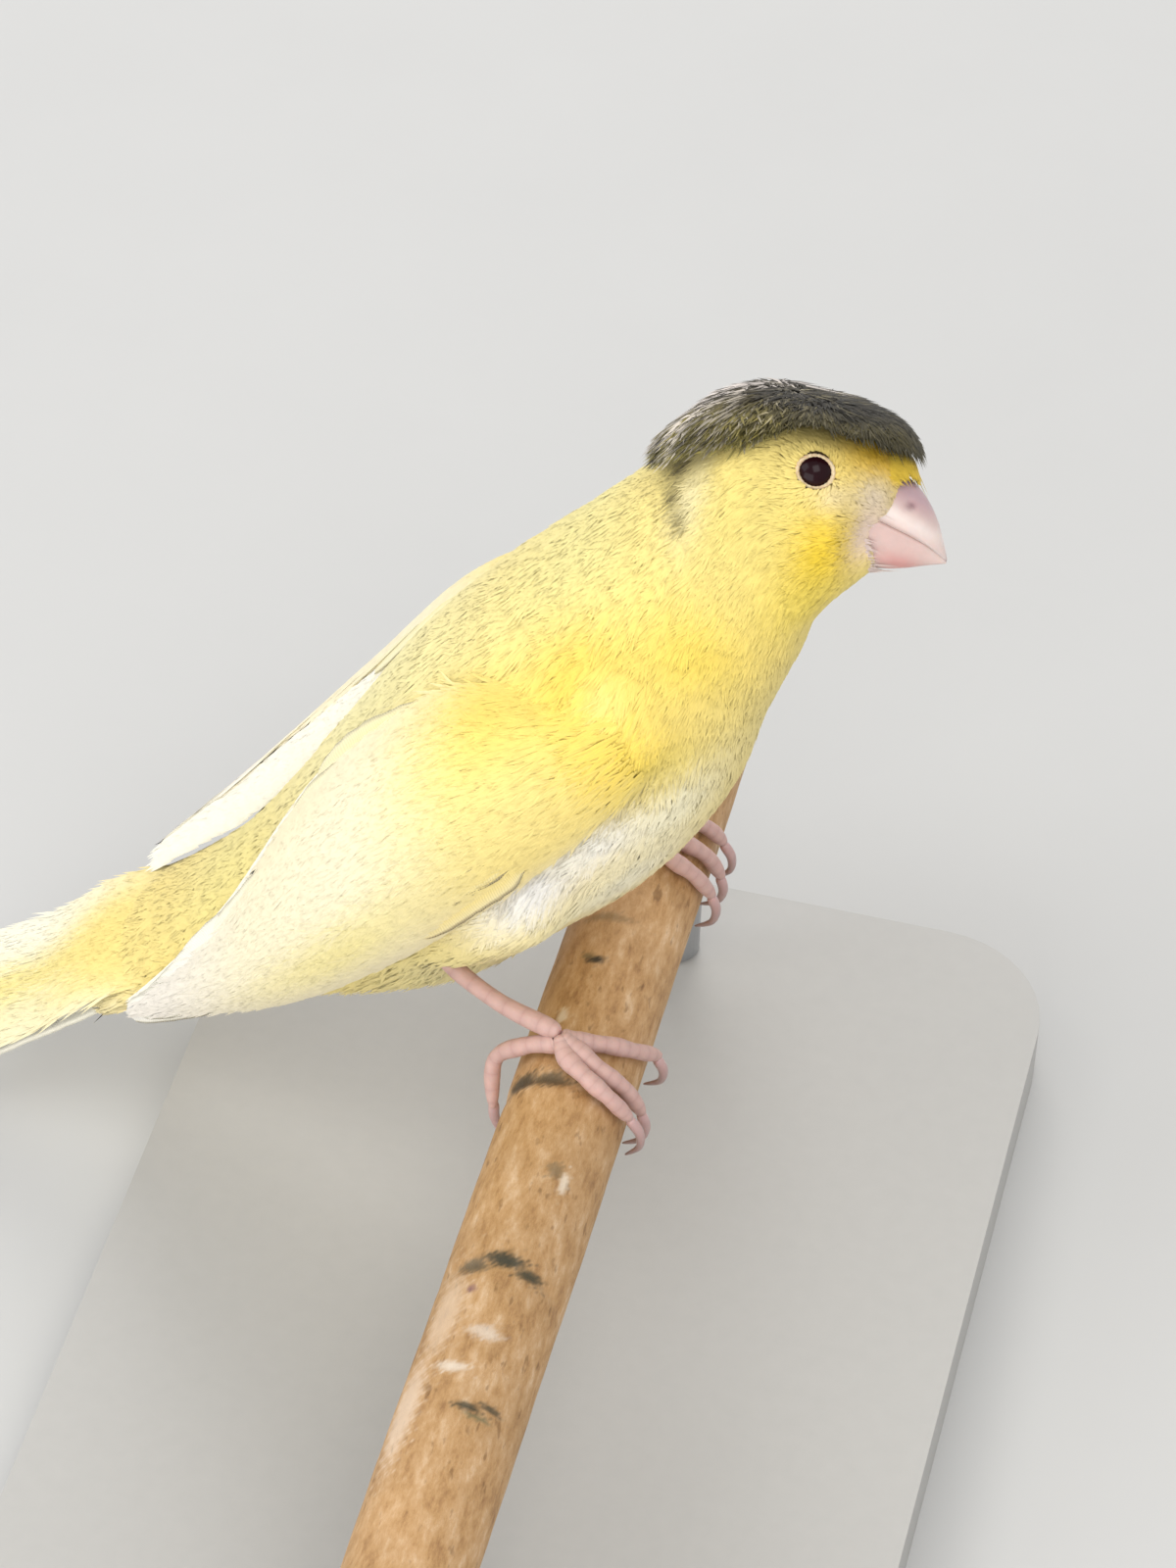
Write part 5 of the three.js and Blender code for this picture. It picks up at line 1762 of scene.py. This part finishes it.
# %% Foot shapes
LEGS = {
    "r": [[-1.4, -17.0, 8.6], [-8.6, -14.2, 8.3], HEEL["r"]],
    "l": [[-1.4, 12.6, 8.6], [-8.6, 11.4, 8.3], HEEL["l"]],
}
LEG_RADII = [1.15, 0.88, 1.0, 1.2]
TOE_RADII = [0.95, 1.0, 0.88, 0.82, 0.7]
CLAW_RADII = [0.6, 0.5, 0.34, 0.14]
SCUTES = 13
CLAW_ROWS, CLAW_AROUND = 40, 20
# For each toe four steps of degrees round the perch from its top, place along it, and height
TOES = {
    "r": [
        [[-12, -17.2, 1.6], [-40, -17.2, 1.7], [-72, -16.8, 2.3], [-100, -18.4, 1.7]],
        [[2, -16.6, 1.4], [26, -15.4, 1.2], [50, -13.8, 1.15], [76, -11.2, 1.1]],
        [[4, -17.8, 1.5], [28, -18.9, 1.25], [52, -18.8, 1.2], [80, -18.2, 1.15]],
        [[-2, -18.8, 1.4], [20, -20.6, 1.2], [42, -21.2, 1.15], [64, -20.9, 1.1]],
    ],
    "l": [
        [[-12, 12.8, 1.6], [-40, 12.8, 1.7], [-72, 12.4, 2.3], [-100, 13.6, 1.7]],
        [[2, 12.0, 1.4], [26, 10.6, 1.2], [50, 10.8, 1.15], [78, 11.8, 1.1]],
        [[4, 13.4, 1.5], [28, 13.4, 1.25], [54, 14.2, 1.2], [84, 15.4, 1.15]],
        [[-2, 14.6, 1.4], [22, 16.2, 1.2], [46, 17.4, 1.15], [68, 18.2, 1.1]],
    ],
}


def on_perch(steps):
    """Points at an angle from the perch's top, a place along it and a height above it."""
    steps = np.asarray(steps, float)
    turn = np.radians(steps[:, 0])
    far = PERCH_R + steps[:, 2]
    return np.stack([far * np.sin(turn), steps[:, 1], far * np.cos(turn)], -1)


def claw_steps(toe):
    """Four steps of a claw that hooks on from a toe's end round the perch."""
    last, before = np.array(toe[-1]), np.array(toe[-2])
    way = np.sign(last[0] - before[0])
    s = np.linspace(-0.1, 1, 4)
    degrees = last[0] + way * (7 + 42 * s)
    y = last[1] + 0.35 * (last[1] - before[1]) * s
    return np.stack([degrees, y, last[2] + 0.9 * np.sin(np.pi * np.maximum(s, 0)) - 0.25 * s], -1)


# %% Scaly skin and horn
def scute_material():
    """Pink bare skin with scutes: bands across the limb from the Scute map, whose first number
    counts scutes along it, with a dark line at each joint and paler toward the middle of each as
    painted light on its rounded face, with fine bumps all over."""
    made, nodes, links, shader = new_material(
        "leg_skin", Roughness=0.5, Subsurface_Weight=0.25, Subsurface_Radius=(1.0, 0.4, 0.25),
        Subsurface_Scale=0.0008,
    )
    place = node(nodes, "ShaderNodeUVMap", uv_map="Scute")
    parts = nodes.new("ShaderNodeSeparateXYZ")
    links.new(place.outputs[0], parts.inputs[0])
    count = maths(nodes, links, "FRACT", parts.outputs["X"])
    plate = maths(nodes, links, "PINGPONG", count, 0.5)
    # Painted light: from the dark joint the tone rises to a paler colour toward the middle of each
    # scute, as on a rounded face.
    raised = maths(nodes, links, "POWER", plate, 0.35)
    stops = [(0.1, paint("BD958C")), (0.35, paint("C19D93")), (0.8, paint("CAA69B"))]
    tone = ramp(nodes, links, raised, stops)
    height = mottled_base(nodes, links, shader, tone, 1400.0, 0.25)
    bump(nodes, links, shader, height, 0.5, 0.00012)
    return made


LEG_FINISH = scute_material()
CLAW_FINISH = horn_material("claw_horn", 0.28)


def add_limb(name, points, radii, scutes, finish, node_name, swell=None, rows=64, around=28):
    """A limb as a closed tube, with a map that counts its scutes."""
    made = tube(name, limb_grid(points, radii, rows, around, swell))
    t = np.linspace(0, scutes, rows)
    turn = np.linspace(0, 1, around, endpoint=False)
    flat = np.stack(np.meshgrid(t, turn, indexing="ij"), -1).reshape(-1, 2)
    add_uv(made, "Scute", np.concatenate([flat, [[0, 0.5], [scutes, 0.5]]]))
    made.data.materials.append(finish)
    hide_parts(node_name)
    return made


def pads(t):
    """Factors along a toe: three and a half swellings for its pads, and twelve faint ridges."""
    return 1 + 0.07 * np.cos(2 * np.pi * 3.5 * t) + 0.008 * np.cos(2 * np.pi * 12 * t)


def add_foot(side):
    """The shank, four toes and four claws of one side. A toe reaches a little into its claw."""
    foot, middle, heel = (np.array(point, float) for point in LEGS[side])
    thigh = np.array(thigh_line(side)[1])
    inward = np.array([0, -OUT[side], 0.4])
    bend = 0.75 * heel + 0.25 * middle + inward
    shank = [foot, middle, bend, heel + 0.6 * (thigh - heel) + inward]
    add_limb("shank_" + side, shank, LEG_RADII, SCUTES, LEG_FINISH, "leg_" + side)
    for i, toe in enumerate(TOES[side]):
        name = f"{side}{i + 1}"
        path = np.concatenate([[foot], on_perch(toe)])
        path[0, 2] -= 0.3
        path[-1] = path[-1] + 0.25 * (path[-1] - path[-2])
        add_limb("digit_" + name, path, TOE_RADII, SCUTES, LEG_FINISH,
                 "toe_" + name, pads, 96, 30)
        made = add_limb("nail_" + name, on_perch(claw_steps(toe)), CLAW_RADII, 1, CLAW_FINISH,
                        "claw_" + name, None, CLAW_ROWS, CLAW_AROUND)
        horn = mixed(paint("C9A39E"), paint("8E7A72"), np.linspace(0, 1, CLAW_ROWS))
        horn = np.repeat(horn, CLAW_AROUND, 0)
        give(made, "Marking", np.concatenate([horn, horn[:1], horn[-1:]]))


for side in "rl":
    add_foot(side)
print("two feet with four toes each")

# %% [markdown]
# ## Perch
# The perch is a length of plain wooden rod, tan with fine long grain, speckled, with a few dark
# greenish stains and some pale spots. Two long pale streaks along one side are painted highlights.
# It is a cylinder whose radius wavers a little, with softened ends. Its stains and painted
# highlights are carried by its vertices, at the places where the photograph shows them.

# %% Perch
# place x, y, z, reach in x, y, z in millimetres, colour, strength
STAINS_AND_HIGHLIGHTS = [
    ((-1.0, -4.2, 6.0), (1.0, 0.55, 1.4), "1C1D12", 0.95),
    ((-1.9, -3.7, 6.0), (0.8, 0.4, 1.4), "5A5538", 0.7),
    ((-4.6, -20.2, 4.2), (2.6, 1.1, 2.6), "23231A", 0.9),
    ((-1.6, -20.4, 5.6), (2.4, 1.0, 1.6), "3C3A2C", 0.85),
    ((-2.6, -44.6, 5.4), (1.6, 1.0, 1.6), "565242", 0.8),
    ((0.2, -43.6, 6.0), (2.2, 0.9, 1.6), "2A2E20", 0.95),
    ((2.8, -44.4, 5.2), (1.5, 0.8, 1.6), "2E3222", 0.9),
    ((1.4, -61.2, 5.8), (1.5, 0.45, 1.5), "262C1C", 0.9),
    ((3.4, -60.4, 5.0), (1.2, 0.4, 1.5), "2C3020", 0.85),
    ((2.4, -61.9, 5.4), (1.6, 0.35, 1.5), "5C6040", 0.7),
    ((-1.3, 1.8, 5.8), (2.6, 0.6, 2.6), "7A6540", 0.6),
    ((2.0, -31.5, 5.6), (0.9, 0.9, 1.5), "6A6048", 0.6),
    ((3.0, -32.5, 5.2), (0.4, 1.4, 1.2), "EFE2CC", 0.7),
    # Painted highlights: the next two rows, long pale streaks along one side of the rod.
    ((-3.6, -50.5, 4.6), (1.6, 5.0, 2.0), "E6CDB0", 0.55),
    ((-4.4, -62.0, 4.0), (1.4, 6.0, 2.0), "EBD5BC", 0.6),
    ((0.6, -52.5, 6.0), (1.6, 0.8, 1.5), "E4D8C8", 0.55),
    ((-1.4, -57.0, 6.0), (1.6, 0.6, 1.5), "EDE2D0", 0.65),
    ((-2.0, -47.6, 5.6), (0.5, 0.5, 1.0), "7C5560", 0.7),
    ((-2.4, -12.0, 5.4), (0.5, 0.9, 1.0), "E9DCC0", 0.6),
]


# Places in the grain's noise, and the colours of the wood there
GRAIN = [(0.32, "9A7044"), (0.46, "B98F5C"), (0.56, "C59D6E"), (0.72, "DBBC96")]
# Scars: place along the rod, direction round it, and depth as a share of the radius
SCARS = [(-20.3, -0.5, 0.05), (-44.2, 0.1, 0.035)]
# Radii of the first rings as shares of the rod's, which soften its ends
END_SHARES = [0.5, 0.93, 0.975]


def mixed_node(nodes, links, blend, share, first, second):
    """Two colour sockets blended by a share, which is a socket or a fixed number."""
    made = node(nodes, "ShaderNodeMix", data_type="RGBA", blend_type=blend)
    colours = [place for place in made.inputs if place.type == "RGBA"]
    feed(links, share, made.inputs["Factor"])
    feed(links, first, colours[0])
    feed(links, second, colours[1])
    return next(place for place in made.outputs if place.type == "RGBA")


def wood_material():
    """Worn bare wood: blotches, fine flecks drawn out a little along the rod, and dark pores."""
    made, nodes, links, shader = new_material("perch_wood", Roughness=0.6)
    place = nodes.new("ShaderNodeTexCoord")
    drawn = node(nodes, "ShaderNodeMapping", Scale=(1.0, 0.35, 1.0))
    links.new(place.outputs["Object"], drawn.inputs["Vector"])
    grain = node(nodes, "ShaderNodeTexNoise", Scale=700.0, Detail=8.0, Roughness=0.72)
    links.new(drawn.outputs[0], grain.inputs["Vector"])
    stops = [(place_in_grain, paint(code)) for place_in_grain, code in GRAIN]
    tone = ramp(nodes, links, grain.outputs["Fac"], stops)
    broad, _ = mottled(nodes, links, tone, 90.0, 0.35)
    speck = node(nodes, "ShaderNodeTexNoise", Scale=1300.0, Detail=2.0)
    links.new(drawn.outputs[0], speck.inputs["Vector"])
    dots = ramp(nodes, links, speck.outputs["Fac"], [(0.28, (0.5, 0.45, 0.36)), (0.37, (1, 1, 1))])
    # The carried stains and painted highlights are laid over the wood by their share.
    mask = node(nodes, "ShaderNodeAttribute", attribute_name="stain_and_highlight_share").outputs["Fac"]
    spotted = mixed_node(nodes, links, "MULTIPLY", 0.7, broad, dots)
    with_stains_and_highlights = mixed_node(nodes, links, "MIX", mask, spotted, carried(nodes, "stain_and_highlight"))
    links.new(with_stains_and_highlights, shader.inputs["Base Color"])
    bump(nodes, links, shader, grain.outputs["Fac"], 0.6, 0.0003)
    return made


def add_perch():
    """The rod: rings along y, with the first and last drawn in for the softened ends. Its radius
    wavers, and dips at two scars that run part of the way round."""
    y = np.concatenate([[PERCH_NEAR, PERCH_NEAR, PERCH_NEAR + 0.15],
                        np.linspace(PERCH_NEAR + 0.6, PERCH_FAR - 0.6, 380),
                        [PERCH_FAR - 0.15, PERCH_FAR, PERCH_FAR]])[:, None]
    inset = np.ones(len(y))
    inset[:3], inset[-3:] = END_SHARES, END_SHARES[::-1]
    turn = np.linspace(0, 2 * np.pi, 128, endpoint=False)[None]
    waver = 0.004 * np.sin(0.23 * y + 2 * turn) + 0.004 * np.sin(0.11 * y + 1 - turn)
    waver = waver - 0.006 + 0.002 * np.sin(0.9 * y + 5 * turn)
    for at, middle, deep in SCARS:
        bent = y - at + 0.8 * np.sin(turn - middle) ** 2
        facing = step(-0.2, 0.8, np.cos(turn - middle))
        waver = waver - deep * facing * np.exp(-((bent / 0.8) ** 2))
    far = PERCH_R * (1 + waver) * inset[:, None]
    grid = np.stack([far * np.sin(turn), np.broadcast_to(y, far.shape), far * np.cos(turn)], -1)
    made = tube("perch_rod", grid)
    points = tube_points(grid)
    colour, mask = np.zeros(points.shape), np.zeros(len(points))
    ragged = np.sin(points[:, 1] * 4 + points[:, 0] * 3) * np.sin(points[:, 0] * 5 + 2)
    ragged = 0.5 * ragged + 0.3 * np.sin(points[:, 1] * 9 - points[:, 0] * 8)
    # Dark stains, pale spots and two painted highlights go into the colour that the rod carries.
    for centre, reach, code, strength in STAINS_AND_HIGHLIGHTS:
        away = (((points - centre) / reach) ** 2).sum(1) * (1 + ragged)
        here = strength * np.exp(-(np.maximum(away, 0) ** 2))
        stronger = here > mask
        colour[stronger] = paint(code)
        mask = np.maximum(mask, here)
    give(made, "stain_and_highlight", colour)
    give(made, "stain_and_highlight_share", np.repeat(mask[:, None], 3, 1))
    made.data.materials.append(wood_material())
    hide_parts("perch")


add_perch()
print("perch", PERCH_FAR - PERCH_NEAR, "mm long")

# %% [markdown]
# ## Stand and floor
# A plain painted base with two steel rods holds the perch. Base and rods are the solids
# themselves with a finish, and the floor is a plain pale sheet.


# %% Stand
def paint_material():
    """Satin paint with a faint orange-peel texture."""
    made, nodes, links, shader = new_material("stand_paint", Roughness=0.45)
    height = mottled_base(nodes, links, shader, paint("B4B2AC"), 500.0, 0.08)
    bump(nodes, links, shader, height, 0.15, 0.0001)
    return made


def steel_material():
    """Brushed steel, with roughness that varies."""
    made, nodes, links, shader = new_material("stand_steel", Metallic=1.0)
    height = mottled_base(nodes, links, shader, paint("B9BBBE"), 1800.0, 0.15)
    rough = node(nodes, "ShaderNodeMapRange", To_Min=0.22, To_Max=0.42)
    links.new(height, rough.inputs["Value"])
    links.new(rough.outputs[0], shader.inputs["Roughness"])
    return made


def dress(name, finish):
    """Gives a CAD node a finish."""
    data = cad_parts[name].data
    data.materials.clear()
    data.materials.append(finish)


dress("stand_base", paint_material())
steel = steel_material()
for rod in ("stand_rod_1", "stand_rod_2"):
    dress(rod, steel)
print("a painted base and two steel rods")


# %% Floor
def add_floor():
    """A plain pale floor, two metres across, on which the stand rests."""
    mesh = bpy.data.meshes.new("floor")
    mesh.from_pydata([(-1, -1, 0), (1, -1, 0), (1, 1, 0), (-1, 1, 0)], [], [(0, 1, 2, 3)])
    made = bpy.data.objects.new("floor", mesh)
    bpy.context.scene.collection.objects.link(made)
    finish, nodes, links, shader = new_material("floor_finish", Roughness=0.8)
    mottled_base(nodes, links, shader, paint("C6C5C1"), 40.0, 0.04)
    mesh.materials.append(finish)


add_floor()
print("floor")
